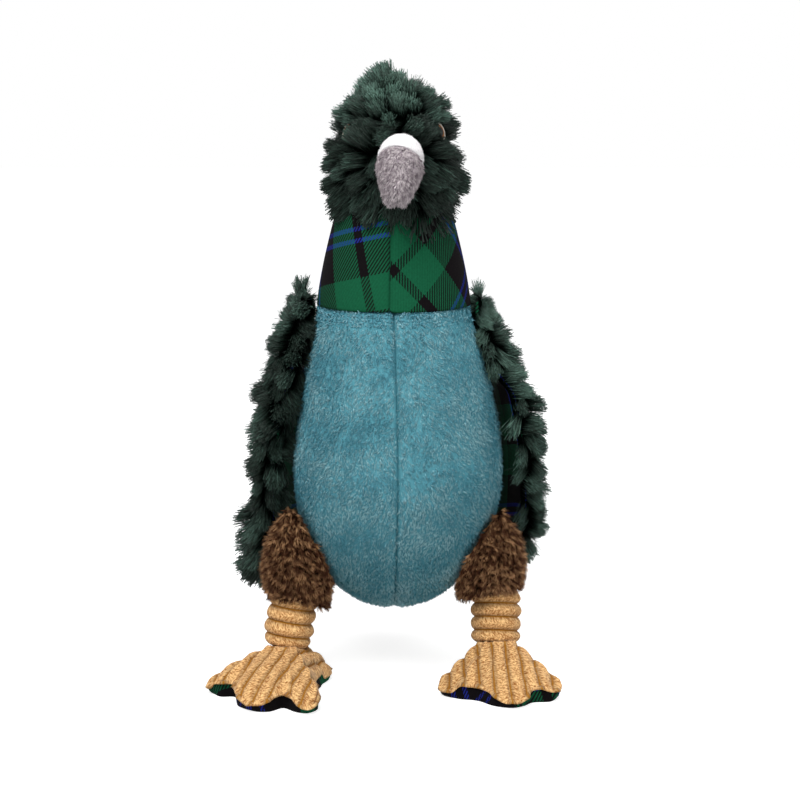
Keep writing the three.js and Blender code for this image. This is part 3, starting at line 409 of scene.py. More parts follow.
NOISE_STEPS = (7.3, 3.1, 5.7)


def rough(points, size, seed):
    """Smooth noise from -1 to 1 at each point, with bumps of about the given size."""
    shift = Vector([seed * step for step in NOISE_STEPS])
    flat = points.reshape(-1, 3) / size
    values = [noise.noise(Vector(point) + shift) for point in flat]
    return np.array(values).reshape(points.shape[:-1])


PLUMP_PRESSURE = 4
PLUMP_MASS = 0.3
PLUMP_FRAMES = 20


def plumped(grid, pinned, cap):
    """A stuffed lump blown up by a cloth simulation. Pinned points are sewn seams, which stay."""
    places = np.arange(grid.shape[0] * grid.shape[1]).reshape(grid.shape[:2])
    cloth = bpy.data.meshes.new("plumping")
    cloth.from_pydata(grid.reshape(-1, 3).tolist(), [], quads(places, True).tolist())
    balloon = bpy.data.objects.new("plumping", cloth)
    bpy.context.scene.collection.objects.link(balloon)
    seams = balloon.vertex_groups.new(name="seams")
    seams.add(places[pinned].ravel().tolist(), 1.0, "REPLACE")
    settings = balloon.modifiers.new("cloth", "CLOTH").settings
    settings.vertex_group_mass = "seams"
    settings.use_pressure = True
    settings.uniform_pressure_force = PLUMP_PRESSURE
    settings.effector_weights.gravity = 0
    settings.mass = PLUMP_MASS
    scene = bpy.context.scene
    for step in range(1, PLUMP_FRAMES + 1):
        scene.frame_set(step)
    result = balloon.evaluated_get(bpy.context.evaluated_depsgraph_get())
    blown = np.array([vertex.co for vertex in result.data.vertices]).reshape(grid.shape)
    scene.frame_set(1)
    bpy.data.objects.remove(balloon)
    move = blown - grid
    far = np.linalg.norm(move, axis=-1, keepdims=True)
    return grid + move * np.minimum(1, cap / np.maximum(far, TINY))


# Nodes


def add(tree, kind, inputs=None, **settings):
    """Adds a node with its settings, and gives its named or numbered inputs a value or a link."""
    node = tree.nodes.new(kind)
    for key, value in settings.items():
        setattr(node, key, value)
    for key, value in (inputs or {}).items():
        if isinstance(value, bpy.types.NodeSocket):
            tree.links.new(value, node.inputs[key])
        else:
            node.inputs[key].default_value = value
    return node


FUR_MEASURES = ("Strands per area", "Length", "Slimness", "Tip", "Bend", "Lock spacing", "Lock spread")
FUR_SHARES = ("Stray", "Gather", "Lock shade", "Dome", "Crease")
FUR_INPUTS = dict.fromkeys(FUR_MEASURES + FUR_SHARES, "NodeSocketFloat")
FUR_INPUTS |= {"Seed": "NodeSocketInt", "Material": "NodeSocketMaterial"}
SCATTER_NODE = "GeometryNodeDistributePointsOnFaces"
LOCK_CROWD = 1e7
PER_SQUARE_METRE = 1e4
LOCK_TALL = (0.72, 1.15)
STRAND_TALL = (0.8, 1.06)
STRAND_SWELL = 0.5
BEND_SPREAD = 0.8
ROOT_HEIGHT = 0.1
STRAND_HEIGHT = 0.88
SHADE_START = 0.05
SHADE_SPAN = 0.9
ROUND_SHADE = 0.03


def fur_tree():
    """Geometry nodes that grow a pile on a backing cloth: strands that gather into locks.

    The backing has the attributes pile, the share of strands that grow there, comb, the way they lie,
    tall, their length against the rest, and tint, which is over a half where they are lighter: painted light
    and shade on some pieces, the pile's own mottle on others.
    Each strand's place on the map OFBake tells the material its shade, across, and its height, along.
    """
    tree = bpy.data.node_groups.new("Pile", "GeometryNodeTree")
    tree.interface.new_socket("Backing", in_out="INPUT", socket_type="NodeSocketGeometry")
    for name, kind in FUR_INPUTS.items():
        tree.interface.new_socket(name, in_out="INPUT", socket_type=kind)
    tree.interface.new_socket("Fur", in_out="OUTPUT", socket_type="NodeSocketGeometry")
    given = add(tree, "NodeGroupInput").outputs
    here = add(tree, "GeometryNodeInputPosition").outputs[0]

    def maths(operation, first, second=0.0):
        return add(tree, "ShaderNodeMath", {0: first, 1: second}, operation=operation).outputs[0]

    def vectors(operation, first, second=(0, 0, 0)):
        return add(tree, "ShaderNodeVectorMath", {0: first, 1: second}, operation=operation).outputs[0]

    def times(vector, scale):
        return add(tree, "ShaderNodeVectorMath", {0: vector, "Scale": scale}, operation="SCALE").outputs[0]

    def scatter(seed_step):
        seed = maths("ADD", given["Seed"], seed_step)
        inputs = {0: (-1, -1, -1), 1: (1, 1, 1), "Seed": seed}
        return add(tree, "FunctionNodeRandomValue", inputs, data_type="FLOAT_VECTOR").outputs[0]

    def chance(low, high, seed_step):
        seed = maths("ADD", given["Seed"], seed_step)
        inputs = {2: low, 3: high, "Seed": seed}
        return add(tree, "FunctionNodeRandomValue", inputs, data_type="FLOAT").outputs[1]

    def named(name, kind):
        return add(tree, "GeometryNodeInputNamedAttribute", {"Name": name}, data_type=kind).outputs[0]

    def stored(geometry, name, value, kind, domain="POINT"):
        inputs = {"Geometry": geometry, "Name": name, "Value": value}
        return add(tree, "GeometryNodeStoreNamedAttribute", inputs, data_type=kind, domain=domain).outputs[0]

    pile = named("pile", "FLOAT")
    comb = named("comb", "FLOAT_VECTOR")
    lock_inputs = {
        "Mesh": given["Backing"],
        "Distance Min": given["Lock spacing"],
        "Density Max": LOCK_CROWD,
        "Density Factor": pile,
        "Seed": given["Seed"],
    }
    locks = add(tree, SCATTER_NODE, lock_inputs, distribute_method="POISSON").outputs[0]
    lock_way = vectors("NORMALIZE", vectors("ADD", comb, times(scatter(11), given["Lock spread"])))
    locks = stored(locks, "lock_way", lock_way, "FLOAT_VECTOR")
    locks = stored(locks, "lock_shade", chance(0, 1, 12), "FLOAT")
    locks = stored(locks, "lock_tall", chance(*LOCK_TALL, 17), "FLOAT")
    root_inputs = {
        "Mesh": given["Backing"],
        "Density": maths("MULTIPLY", given["Strands per area"], pile),
        "Seed": given["Seed"],
    }
    roots = add(tree, SCATTER_NODE, root_inputs, distribute_method="RANDOM").outputs[0]
    nearest = add(tree, "GeometryNodeSampleNearest", {0: locks, 1: here}, domain="POINT").outputs[0]

    def of_lock(value, kind):
        inputs = {0: locks, 1: value, 2: nearest}
        return add(tree, "GeometryNodeSampleIndex", inputs, data_type=kind, domain="POINT").outputs[0]

    tall = maths("MULTIPLY", given["Length"], named("tall", "FLOAT"))
    tall = maths("MULTIPLY", tall, chance(*STRAND_TALL, 13))
    tall = maths("MULTIPLY", tall, of_lock(named("lock_tall", "FLOAT"), "FLOAT"))
    lock_lean = of_lock(named("lock_way", "FLOAT_VECTOR"), "FLOAT_VECTOR")
    lean = vectors("ADD", lock_lean, times(scatter(14), given["Stray"]))
    to_lock = vectors("SUBTRACT", of_lock(here, "FLOAT_VECTOR"), here)
    off_lock = add(tree, "ShaderNodeVectorMath", {0: to_lock}, operation="LENGTH").outputs[1]
    off_lock = maths("POWER", maths("DIVIDE", off_lock, given["Lock spacing"]), 2)
    tall = maths("MULTIPLY", tall, maths("SUBTRACT", 1, maths("MULTIPLY", given["Dome"], off_lock)))
    reach = vectors("ADD", times(vectors("NORMALIZE", lean), tall), times(to_lock, given["Gather"]))
    size = add(tree, "ShaderNodeVectorMath", {0: reach}, operation="LENGTH").outputs[1]
    fall = vectors("ADD", (0, 0, -1), times(scatter(15), BEND_SPREAD))
    axes = {"primary_axis": "Z", "secondary_axis": "X"}
    rotation = add(tree, "FunctionNodeAxesToRotation", {0: reach, 1: fall}, **axes).outputs[0]
    lock_shade = of_lock(named("lock_shade", "FLOAT"), "FLOAT")
    shade_inputs = {0: given["Lock shade"], 2: chance(0, 1, 16), 3: lock_shade}
    shade = add(tree, "ShaderNodeMix", shade_inputs, data_type="FLOAT").outputs[0]
    # The tint lightens or darkens strands: painted light and shade on the head, wings, breast and beak,
    # mottle on the thighs
    tinted = maths("ADD", shade, maths("SUBTRACT", named("tint", "FLOAT"), 0.5))
    # Strands far from their lock's middle are painted darker: painted shade in the creases between locks
    tinted = maths("SUBTRACT", tinted, maths("MULTIPLY", given["Crease"], off_lock))
    shade = add(tree, "ShaderNodeClamp", {0: tinted}).outputs[0]
    roots = stored(roots, "shade", shade, "FLOAT")

    cone_inputs = {
        "Vertices": 3,
        "Side Segments": 1,
        "Fill Segments": 1,
        "Radius Top": maths("MULTIPLY", given["Slimness"], given["Tip"]),
        "Radius Bottom": given["Slimness"],
        "Depth": 1,
    }
    strand = add(tree, "GeometryNodeMeshCone", cone_inputs, fill_type="NGON").outputs[0]
    part = add(tree, "ShaderNodeSeparateXYZ", {0: here}).outputs
    strand = stored(strand, "along", part[2], "FLOAT")
    strand = stored(strand, "side", maths("DIVIDE", part[0], given["Slimness"]), "FLOAT")
    fullness = maths("ADD", 1, maths("MULTIPLY", part[2], STRAND_SWELL))
    bent = maths("MULTIPLY", given["Bend"], maths("MULTIPLY", part[2], part[2]))
    bowed = {
        0: maths("ADD", maths("MULTIPLY", part[0], fullness), bent),
        1: maths("MULTIPLY", part[1], fullness),
        2: part[2],
    }
    bowed_place = add(tree, "ShaderNodeCombineXYZ", bowed).outputs[0]
    strand = add(tree, "GeometryNodeSetPosition", {"Geometry": strand, "Position": bowed_place}).outputs[0]
    grown_inputs = {"Points": roots, "Instance": strand, "Rotation": rotation, "Scale": size}
    grown = add(tree, "GeometryNodeInstanceOnPoints", grown_inputs).outputs[0]
    grown = add(tree, "GeometryNodeRealizeInstances", {0: grown}).outputs[0]
    across = maths("MULTIPLY", named("shade", "FLOAT"), SHADE_SPAN)
    across = maths("ADD", across, maths("MULTIPLY", named("side", "FLOAT"), ROUND_SHADE))
    height = maths("ADD", ROOT_HEIGHT, maths("MULTIPLY", named("along", "FLOAT"), STRAND_HEIGHT))
    across = maths("ADD", across, SHADE_START)
    map_place = add(tree, "ShaderNodeCombineXYZ", {0: across, 1: height}).outputs[0]
    grown = stored(grown, "OFBake", map_place, "FLOAT2", "CORNER")
    joined = add(tree, "GeometryNodeJoinGeometry")
    tree.links.new(grown, joined.inputs[0])
    tree.links.new(given["Backing"], joined.inputs[0])
    dressing = {"Geometry": joined.outputs[0], "Material": given["Material"]}
    dressed = add(tree, "GeometryNodeSetMaterial", dressing).outputs[0]
    dressed = add(tree, "GeometryNodeSetShadeSmooth", {"Geometry": dressed}).outputs[0]
    add(tree, "NodeGroupOutput", {0: dressed})
    return tree


def node_group(name, builder):
    """A node tree that is built once and shared by its pieces."""
    return bpy.data.node_groups.get(name) or builder()


def baked(piece):
    """Turns what a piece's modifiers give into its plain mesh."""
    result = piece.evaluated_get(bpy.context.evaluated_depsgraph_get())
    mesh = bpy.data.meshes.new_from_object(result)
    piece.modifiers.clear()
    old = piece.data
    piece.data = mesh
    bpy.data.meshes.remove(old)
    mesh.name = piece.name
    return piece


FUR_KINDS = {
    "head": {
        **{"Slimness": 0.015, "Tip": 0.7, "Bend": 0.3, "Lock spacing": 6.5 * MM, "Lock spread": 0.55},
        **{"Stray": 0.12, "Gather": 0.12, "Lock shade": 0.4, "Dome": 0.6, "Crease": 0.4},
    },
    "wing": {
        **{"Slimness": 0.015, "Tip": 0.7, "Bend": 0.35, "Lock spacing": 7.5 * MM, "Lock spread": 0.65},
        **{"Stray": 0.13, "Gather": 0.12, "Lock shade": 0.4, "Dome": 0.55, "Crease": 0.4},
    },
    "thigh": {
        **{"Slimness": 0.05, "Tip": 0, "Bend": 0.2, "Lock spacing": 1.1 * MM, "Lock spread": 0.8},
        **{"Stray": 0.3, "Gather": 0.15, "Lock shade": 0.95, "Dome": 0.4, "Crease": 0.5},
    },
    "plush": {
        **{"Slimness": 0.11, "Tip": 0, "Bend": 0.15, "Lock spacing": 1.1 * MM, "Lock spread": 0.6},
        **{"Stray": 0.3, "Gather": 0.3, "Lock shade": 0.6, "Dome": 0.4, "Crease": 0.8},
    },
    "nap": {
        **{"Slimness": 0.085, "Tip": 0, "Bend": 0.15, "Lock spacing": 0.9 * MM, "Lock spread": 0.3},
        **{"Stray": 0.2, "Gather": 0.3, "Lock shade": 0.7, "Dome": 0, "Crease": 0.5},
    },
}


BACKING_HEIGHTS = (0.01, 0.07)
ON_FACE = 1e-5


def furred(
    name, kind, outer, inner, comb, growth, material, pile_length, strands, seed, tint=0.5, tall=1, wrap=False
):
    """A backing cloth between two grids, grown with a pile of a kind.

    The comb and growth of the pile, its tint, which paints light and shade on some pieces and mottle on
    others, and how tall it is are given over the outer grid, the strands on a square centimetre.
    """
    rows, columns = outer.shape[:2]
    heights = np.linspace(*BACKING_HEIGHTS, rows)
    u, v = np.meshgrid(np.linspace(0, 1, columns + (1 if wrap else 0)), heights)
    piece = layer(name, outer, inner, np.stack([u, v], -1), material, wrap)
    mesh = piece.data
    mesh.uv_layers[0].name = "OFBake"
    spots = np.array([vertex.co for vertex in mesh.vertices])
    nearest = nearest_points(spots, outer.reshape(-1, 3))
    on_face = np.linalg.norm(outer.reshape(-1, 3)[nearest] - spots, axis=-1) < ON_FACE
    for label, values in {"pile": growth, "tint": tint, "tall": tall}.items():
        spread = np.broadcast_to(values, outer.shape[:2]).ravel()[nearest]
        spread = np.where(on_face, spread, 0).astype(np.float32)
        mesh.attributes.new(label, "FLOAT", "POINT").data.foreach_set("value", spread)
    ways = comb.reshape(-1, 3)[nearest].astype(np.float32)
    mesh.attributes.new("comb", "FLOAT_VECTOR", "POINT").data.foreach_set("vector", ways.ravel())
    tree = node_group("Pile", fur_tree)
    modifier = piece.modifiers.new("Pile", "NODES")
    modifier.node_group = tree
    sockets = tree.interface.items_tree
    identifiers = {socket.name: socket.identifier for socket in sockets if socket.in_out == "INPUT"}
    given = {
        "Strands per area": strands * PER_SQUARE_METRE,
        "Length": pile_length,
        "Seed": seed,
        "Material": material,
    }
    for label, value in {**FUR_KINDS[kind], **given}.items():
        modifier[identifiers[label]] = value
    return baked(piece)


def nearest_points(spots, points):
    """Number of the nearest point for each spot."""
    tree = KDTree(len(points))
    for number, point in enumerate(points):
        tree.insert(point, number)
    tree.balance()
    return np.array([tree.find(spot)[1] for spot in spots])


def place(piece, body, nodes):
    """Attaches a piece to the body that it rides on, and hides the nodes that it stands for."""
    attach(piece, body)
    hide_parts(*nodes)


# Materials


def new_material(name):
    """A material with its tree, its surface shader and nothing else."""
    material = bpy.data.materials.new(name)
    material.use_nodes = True
    tree = material.node_tree
    tree.nodes.clear()
    shader = add(tree, "ShaderNodeBsdfPrincipled")
    add(tree, "ShaderNodeOutputMaterial", {"Surface": shader.outputs[0]})
    return material, tree, shader


def rgba(value):
    return (*value, 1.0)


PILE_GLOSS = 0.25
SHADE_ENDS = (0.1, 0.9)
HEIGHT_ENDS = (ROOT_HEIGHT, 0.95)


def pile_material(name, root, tip, light, lightness, depth, roughness, sheen):
    """Pile of fine polyester fibre: darker toward its roots as painted shade down in the pile, lighter and
    glossier toward its tips.
    """
    material, tree, shader = new_material(name)
    spot = add(tree, "ShaderNodeUVMap", uv_map="OFBake").outputs[0]
    part = add(tree, "ShaderNodeSeparateXYZ", {0: spot}).outputs
    height = add(tree, "ShaderNodeMapRange", {0: part[1], 1: HEIGHT_ENDS[0], 2: HEIGHT_ENDS[1]}).outputs[0]
    shade = add(tree, "ShaderNodeMapRange", {0: part[0], 1: SHADE_ENDS[0], 2: SHADE_ENDS[1]}).outputs[0]
    chosen = add(tree, "ShaderNodeMath", {0: shade, 1: lightness}, operation="POWER").outputs[0]
    top = add(tree, "ShaderNodeMix", {0: chosen, 6: rgba(tip), 7: rgba(light)}, data_type="RGBA").outputs[2]
    # Toward the backing the colour runs to the root colour: painted shade deep in the pile, where that colour
    # is darker
    rise = add(tree, "ShaderNodeMath", {0: height, 1: depth}, operation="POWER").outputs[0]
    colour_out = add(tree, "ShaderNodeMix", {0: rise, 6: rgba(root), 7: top}, data_type="RGBA").outputs[2]
    tree.links.new(colour_out, shader.inputs["Base Color"])
    shader.inputs["Roughness"].default_value = roughness
    shader.inputs["Sheen Weight"].default_value = sheen
    shader.inputs["Sheen Roughness"].default_value = 0.5
    gloss = add(tree, "ShaderNodeMath", {0: height, 1: PILE_GLOSS}, operation="MULTIPLY").outputs[0]
    tree.links.new(gloss, shader.inputs["Specular IOR Level"])
    return material


TARTAN_THREAD = 0.45 * MM
TARTAN_HALF = [(2.25, "black"), (16, "green"), (15.5, "black"), (2, "blue")]
TARTAN_BANDS = [*TARTAN_HALF, (3.5, "black"), *reversed(TARTAN_HALF)]
TWILL_REPEAT = 4.0
TWILL_OVER = 1.5
TARTAN_FLECKS = 900.0


def tartan_material(name, colours):
    """Twill-woven wool-like tartan: two sets of dyed yarn cross, so mixed blocks show diagonal hatching."""
    material, tree, shader = new_material(name)
    repeat = sum(width for width, _ in TARTAN_BANDS) * MM
    dyes = {"black": colours.tartan_black, "green": colours.tartan_green, "blue": colours.tartan_blue}
    spot = add(tree, "ShaderNodeUVMap", uv_map="Cloth").outputs[0]
    part = add(tree, "ShaderNodeSeparateXYZ", {0: spot}).outputs

    def maths(operation, first, second=0.0):
        return add(tree, "ShaderNodeMath", {0: first, 1: second}, operation=operation).outputs[0]

    def yarn(coordinate):
        share = maths("FLOORED_MODULO", maths("DIVIDE", coordinate, repeat), 1.0)
        ramp = add(tree, "ShaderNodeValToRGB", {0: share})
        ramp.color_ramp.interpolation = "CONSTANT"
        start = 0.0
        for number, (width, dye) in enumerate(TARTAN_BANDS):
            stops = ramp.color_ramp.elements
            stop = stops[number] if number < len(stops) else stops.new(start)
            stop.position = start
            stop.color = rgba(dyes[dye])
            start += width * MM / repeat
        return ramp.outputs[0]

    warp_thread = maths("FLOOR", maths("DIVIDE", part[0], TARTAN_THREAD))
    weft_thread = maths("FLOOR", maths("DIVIDE", part[1], TARTAN_THREAD))
    float_step = maths("FLOORED_MODULO", maths("SUBTRACT", warp_thread, weft_thread), TWILL_REPEAT)
    warp_on_top = maths("LESS_THAN", float_step, TWILL_OVER)
    yarns = {0: warp_on_top, 6: yarn(part[1]), 7: yarn(part[0])}
    woven = add(tree, "ShaderNodeMix", yarns, data_type="RGBA").outputs[2]
    thread_shade = maths("MULTIPLY_ADD", float_step, -0.05)
    thread_shade.node.inputs[2].default_value = 1.08
    flecks = {"Vector": spot, "Scale": TARTAN_FLECKS, "Detail": 2.0}
    speck = add(tree, "ShaderNodeTexNoise", flecks).outputs[0]
    fleck = maths("MULTIPLY", thread_shade, maths("ADD", 0.75, maths("MULTIPLY", speck, 0.5)))
    shaded = add(tree, "ShaderNodeVectorMath", {0: woven, "Scale": fleck}, operation="SCALE").outputs[0]
    tree.links.new(shaded, shader.inputs["Base Color"])
    ribs = {"Strength": 0.35, "Distance": 0.2 * MM, "Height": float_step}
    bump = add(tree, "ShaderNodeBump", ribs).outputs[0]
    tree.links.new(bump, shader.inputs["Normal"])
    shader.inputs["Roughness"].default_value = 0.95
    shader.inputs["Specular IOR Level"].default_value = 0.06
    return material


TUFT_STEP = 0.55 * MM
TUFT_RUN = 1.4 * MM
TUFT_SHIFT = 3.7


def corduroy_material(name, colours):
    """Cut-pile cotton corduroy: tufts slant across each wale in strokes of shade over a golden ground, and
    the pile darkens toward the grooves as painted shade.
    """
    material, tree, shader = new_material(name)
    wale = bpy.context.scene.bird_toy.leg.wale
    spot = add(tree, "ShaderNodeUVMap", uv_map="Cloth").outputs[0]
    part = add(tree, "ShaderNodeSeparateXYZ", {0: spot}).outputs

    def maths(operation, first, second=0.0):
        return add(tree, "ShaderNodeMath", {0: first, 1: second}, operation=operation).outputs[0]

    number = maths("DIVIDE", part[0], wale)
    off_crest = maths("ABSOLUTE", maths("SUBTRACT", maths("FLOORED_MODULO", number, 1.0), 0.5))
    aside = maths("MULTIPLY", off_crest, wale)
    stroke_step = maths("ADD", maths("MULTIPLY", part[1], 0.8), maths("MULTIPLY", aside, 0.6))
    stroke_run = maths("SUBTRACT", maths("MULTIPLY", aside, 0.8), maths("MULTIPLY", part[1], 0.6))
    stroke = {
        0: maths("DIVIDE", stroke_step, TUFT_STEP),
        1: maths("DIVIDE", stroke_run, TUFT_RUN),
        2: maths("MULTIPLY", maths("FLOOR", maths("MULTIPLY", number, 2.0)), TUFT_SHIFT),
    }
    tuft_place = add(tree, "ShaderNodeCombineXYZ", stroke).outputs[0]
    tuft = add(tree, "ShaderNodeTexNoise", {"Vector": tuft_place, "Scale": 1.0, "Detail": 1.5}).outputs[0]
    depth = add(tree, "ShaderNodeMapRange", {0: tuft, 1: 0.32, 2: 0.68, 3: 0.0, 4: 1.0}).outputs[0]
    shades = {0: depth, 6: rgba(colours.corduroy_deep), 7: rgba(colours.corduroy)}
    pile = add(tree, "ShaderNodeMix", shades, data_type="RGBA").outputs[2]
    ground = add(tree, "ShaderNodeMapRange", {0: off_crest, 1: 0.4, 2: 0.48, 3: 0.0, 4: 1.0}).outputs[0]
    # Painted shade: the pile darkens toward each groove
    hollow = add(tree, "ShaderNodeMapRange", {0: off_crest, 1: 0.22, 2: 0.46, 3: 1.0, 4: 0.55}).outputs[0]
    pile = add(tree, "ShaderNodeVectorMath", {0: pile, "Scale": hollow}, operation="SCALE").outputs[0]
    layers = {0: ground, 6: pile, 7: rgba(colours.corduroy_groove)}
    whole = add(tree, "ShaderNodeMix", layers, data_type="RGBA").outputs[2]
    tree.links.new(whole, shader.inputs["Base Color"])
    bump = add(tree, "ShaderNodeBump", {"Strength": 0.7, "Distance": 0.5 * MM, "Height": tuft}).outputs[0]
    tree.links.new(bump, shader.inputs["Normal"])
    shader.inputs["Roughness"].default_value = 0.9
    shader.inputs["Specular IOR Level"].default_value = 0.15
    shader.inputs["Sheen Weight"].default_value = 0.1
    return material


def felt_material(name, value):
    """Pressed felt: matt, with short tangled fibres that mottle it a little."""
    material, tree, shader = new_material(name)
    spot = add(tree, "ShaderNodeTexCoord").outputs["Object"]
    fibre = add(tree, "ShaderNodeTexNoise", {"Vector": spot, "Scale": 1600.0, "Detail": 3.0}).outputs[0]
    dark = [c * 0.7 for c in value]
    shades = {0: fibre, 6: rgba(dark), 7: rgba(value)}
    mottle = add(tree, "ShaderNodeMix", shades, data_type="RGBA").outputs[2]
    tree.links.new(mottle, shader.inputs["Base Color"])
    bump = add(tree, "ShaderNodeBump", {"Strength": 0.4, "Distance": 0.2 * MM, "Height": fibre}).outputs[0]
    tree.links.new(bump, shader.inputs["Normal"])
    shader.inputs["Roughness"].default_value = 0.85
    return material


def plastic_material(value):
    """Blown soft plastic: waxy and a little cloudy, with a faint orange-peel surface."""
    material, tree, shader = new_material("Blown polyethylene")
    spot = add(tree, "ShaderNodeTexCoord").outputs["Object"]
    cloud = add(tree, "ShaderNodeTexNoise", {"Vector": spot, "Scale": 120.0}).outputs[0]
    dark = [c * 0.85 for c in value]
    shades = {0: cloud, 6: rgba(dark), 7: rgba(value)}
    milky = add(tree, "ShaderNodeMix", shades, data_type="RGBA").outputs[2]
    tree.links.new(milky, shader.inputs["Base Color"])
    shader.inputs["Roughness"].default_value = 0.45
    return material


def shared_material(name, builder, *values):
    """A material that is built once and shared by its pieces."""
    return bpy.data.materials.get(name) or builder(name, *values)


# How piles look: exponent of their light tips and of their painted shade in the depth, roughness and sheen
GREEN_FUR_LOOK = (1.8, 1.2, 0.5, 0.0)
BROWN_FUR_LOOK = (1.9, 0.7, 0.7, 0.0)
VELOUR_LOOK = (1.0, 0.6, 0.8, 0.0)
BEAK_LOOK = (1.0, 0.6, 0.75, 0.1)


def green_fur(colours):
    shades = (colours.fur_root_shade, colours.fur_tip, colours.fur_light)
    return shared_material("Long-pile fur", pile_material, *shades, *GREEN_FUR_LOOK)


def tartan(colours):
    return shared_material("Twill tartan", tartan_material, colours)


# Body

BELLY_ROUND = 2 / 2.1


def torso_profile(body, neck, shares):
    """Radius and height of the body's outline, from its bottom, 0, to the neck seam, 1."""
    belly = BODY_BOTTOM + body.belly_drop
    low = np.minimum(shares, 0.5) * math.pi
    low_radius = body.half_width * np.sin(low) ** BELLY_ROUND
    low_height = belly - body.belly_drop * np.maximum(np.cos(low), 0) ** BELLY_ROUND
    rise = np.maximum(2 * shares - 1, 0)
    high_radius = body.half_width - (body.half_width - neck.seam_radius) * rise**1.5
    high_height = belly + (NECK_SEAM - belly) * rise
    upper = shares > 0.5
    return np.where(upper, high_radius, low_radius), np.where(upper, high_height, low_height)


def torso_axis(body, heights):
    """Middle of the body at heights, across and along, and their shares of its height."""
    share = np.clip((heights - BODY_BOTTOM) / (NECK_SEAM - BODY_BOTTOM), 0, 1)
    return MIDDLE_X + body.sway * np.sin(math.pi * share), NECK_Y + body.lean * (1 - share), share


def torso_points(body, radius, height, turns):
    across, middle, share = torso_axis(body, height)
    forward = np.cos(turns)
    depth = np.where(forward > 0, 1 + body.bulge * np.sin(math.pi * share), 1)
    x = across + radius * np.sin(turns)
    y = middle - radius * forward * depth
    return np.stack([x, y, height + 0 * turns], -1)


BODY_COLUMNS = 120
BODY_ROWS = 60
DOME_ROWS = 6


def body_grid(body, neck):
    """The whole stuffed body, from its bottom over the neck seam to the top of its stuffing."""
    shares = np.linspace(0, 1, BODY_ROWS + 1)
    radius, height = torso_profile(body, neck, shares)
    drop = NECK_SEAM - NECK_PIVOT[2]
    dome = math.hypot(neck.seam_radius, drop)
    lean = math.asin(neck.seam_radius / dome) * (1 - np.arange(1, DOME_ROWS + 1) / DOME_ROWS)
    radius = np.concatenate([radius, dome * np.sin(lean) * 0.97])
    height = np.concatenate([height, NECK_PIVOT[2] + dome * np.cos(lean)])
    turns = np.arange(BODY_COLUMNS) / BODY_COLUMNS * 2 * math.pi
    return torso_points(body, radius[:, None], height[:, None], turns[None, :])


class BIRD_OT_body(Operator):
    """Sew the plush breast and the tartan back over the stuffed body"""

    bl_idname = "bird.body"
    bl_label = "Body"

    def execute(self, context):
        toy = context.scene.bird_toy
        body, colours, pile = toy.body, toy.colours, toy.pile
        grid = body_grid(body, toy.neck)
        edge = round(body.breast_turn / (2 * math.pi) * BODY_COLUMNS)
        half = BODY_COLUMNS // 2
        seams = [0, edge, half, BODY_COLUMNS - edge]
        pinned = np.zeros(grid.shape[:2], bool)
        pinned[:, seams] = True
        pinned[BODY_ROWS:] = True
        pinned[0] = True
        middle = np.stack([grid[:, :, 0].mean(1), grid[:, :, 1].mean(1), grid[:, 0, 2]], -1)[:, None]
        normals = outward(grid, True, middle)
        normals[0] = DOWN
        grid = plumped(grid - normals * 1.5 * MM, pinned, 4 * MM)
        shades = (colours.breast_deep, colours.breast, colours.breast_light)
        plush = pile_material("Velour plush", *shades, *VELOUR_LOOK)
        panels = {
            "breast_left": (0, edge),
            "back_left": (edge, half),
            "back_right": (half, BODY_COLUMNS - edge),
            "breast_right": (BODY_COLUMNS - edge, BODY_COLUMNS),
        }
        for name, (first, last) in panels.items():
            columns = np.arange(first, last + 1) % BODY_COLUMNS
            fine = refined(grid[:, columns], 2)
            normals = outward(fine, False, refined(middle.repeat(len(columns), 1), 2))
            cloth = flat_cloth(fine)
            width = cloth[..., 0].max(1, keepdims=True)
            near = np.minimum(cloth[..., 0], width - cloth[..., 0]) / body.seam_width
            sunk = body.seam_depth * np.exp(-3 * near) * np.minimum(width / (6 * body.seam_width), 1)
            outer = fine - normals * sunk[..., None]
            kind, side = name.split("_")
            if kind == "breast":
                self.sew_breast(name, side, outer, normals, plush, body, pile)
            else:
                grain = turned_cloth(cloth, 0, (width.max() if side == "left" else 0, 20 * MM))
                piece = layer(name, outer, outer - normals * body.cloth, grain, tartan(colours))
                place(piece, "torso", [f"back_panel_{side}"])
        return {"FINISHED"}

    def sew_breast(self, name, side, outer, normals, plush, body, pile):
        """One half of the breast, its pile brushed down with swirls."""
        across = np.cross(normals, DOWN)
        swirl = 1.6 * rough(outer, 16 * MM, 1) + 0.8 * rough(outer, 6 * MM, 2)
        lie = 0.55 + 0.5 * rough(outer, 20 * MM, 3)
        comb = unit(lie[..., None] * normals + 0.8 * DOWN + swirl[..., None] * across)
        growth = np.ones(outer.shape[:2])
        growth[-2 * DOME_ROWS :] = 0
        growth[:, [0, -1]] = 0
        comb[-2 * DOME_ROWS - 6 :] = unit(comb[-2 * DOME_ROWS - 6 :] - 1.4 * DOWN)
        # Broad lighter and darker patches are painted sheen and shade of the nap brushed different ways
        tint = 0.56 + 0.55 * rough(outer, 16 * MM, 4) + 0.2 * rough(outer, 5 * MM, 5)
        from_seam = np.linspace(0, 1, outer.shape[1])
        if side == "right":
            from_seam = from_seam[::-1]
        # Each half is painted darker toward the wing beside it, as the wing's painted shadow, deeper on the
        # bird's right
        tint = tint - (0.22 if side == "left" else 0.35) * smooth_step((from_seam - 0.5) / 0.3)
        sheet = (outer, outer - normals * body.plush)
        grown = (plush, pile.breast, pile.plush_strands, pile.seed, tint)
        piece = furred(name, "plush", *sheet, comb, growth, *grown)
        nodes = [f"breast_panel_{side}"] + (["body_stuffing"] if side == "left" else [])
        place(piece, "torso", nodes)


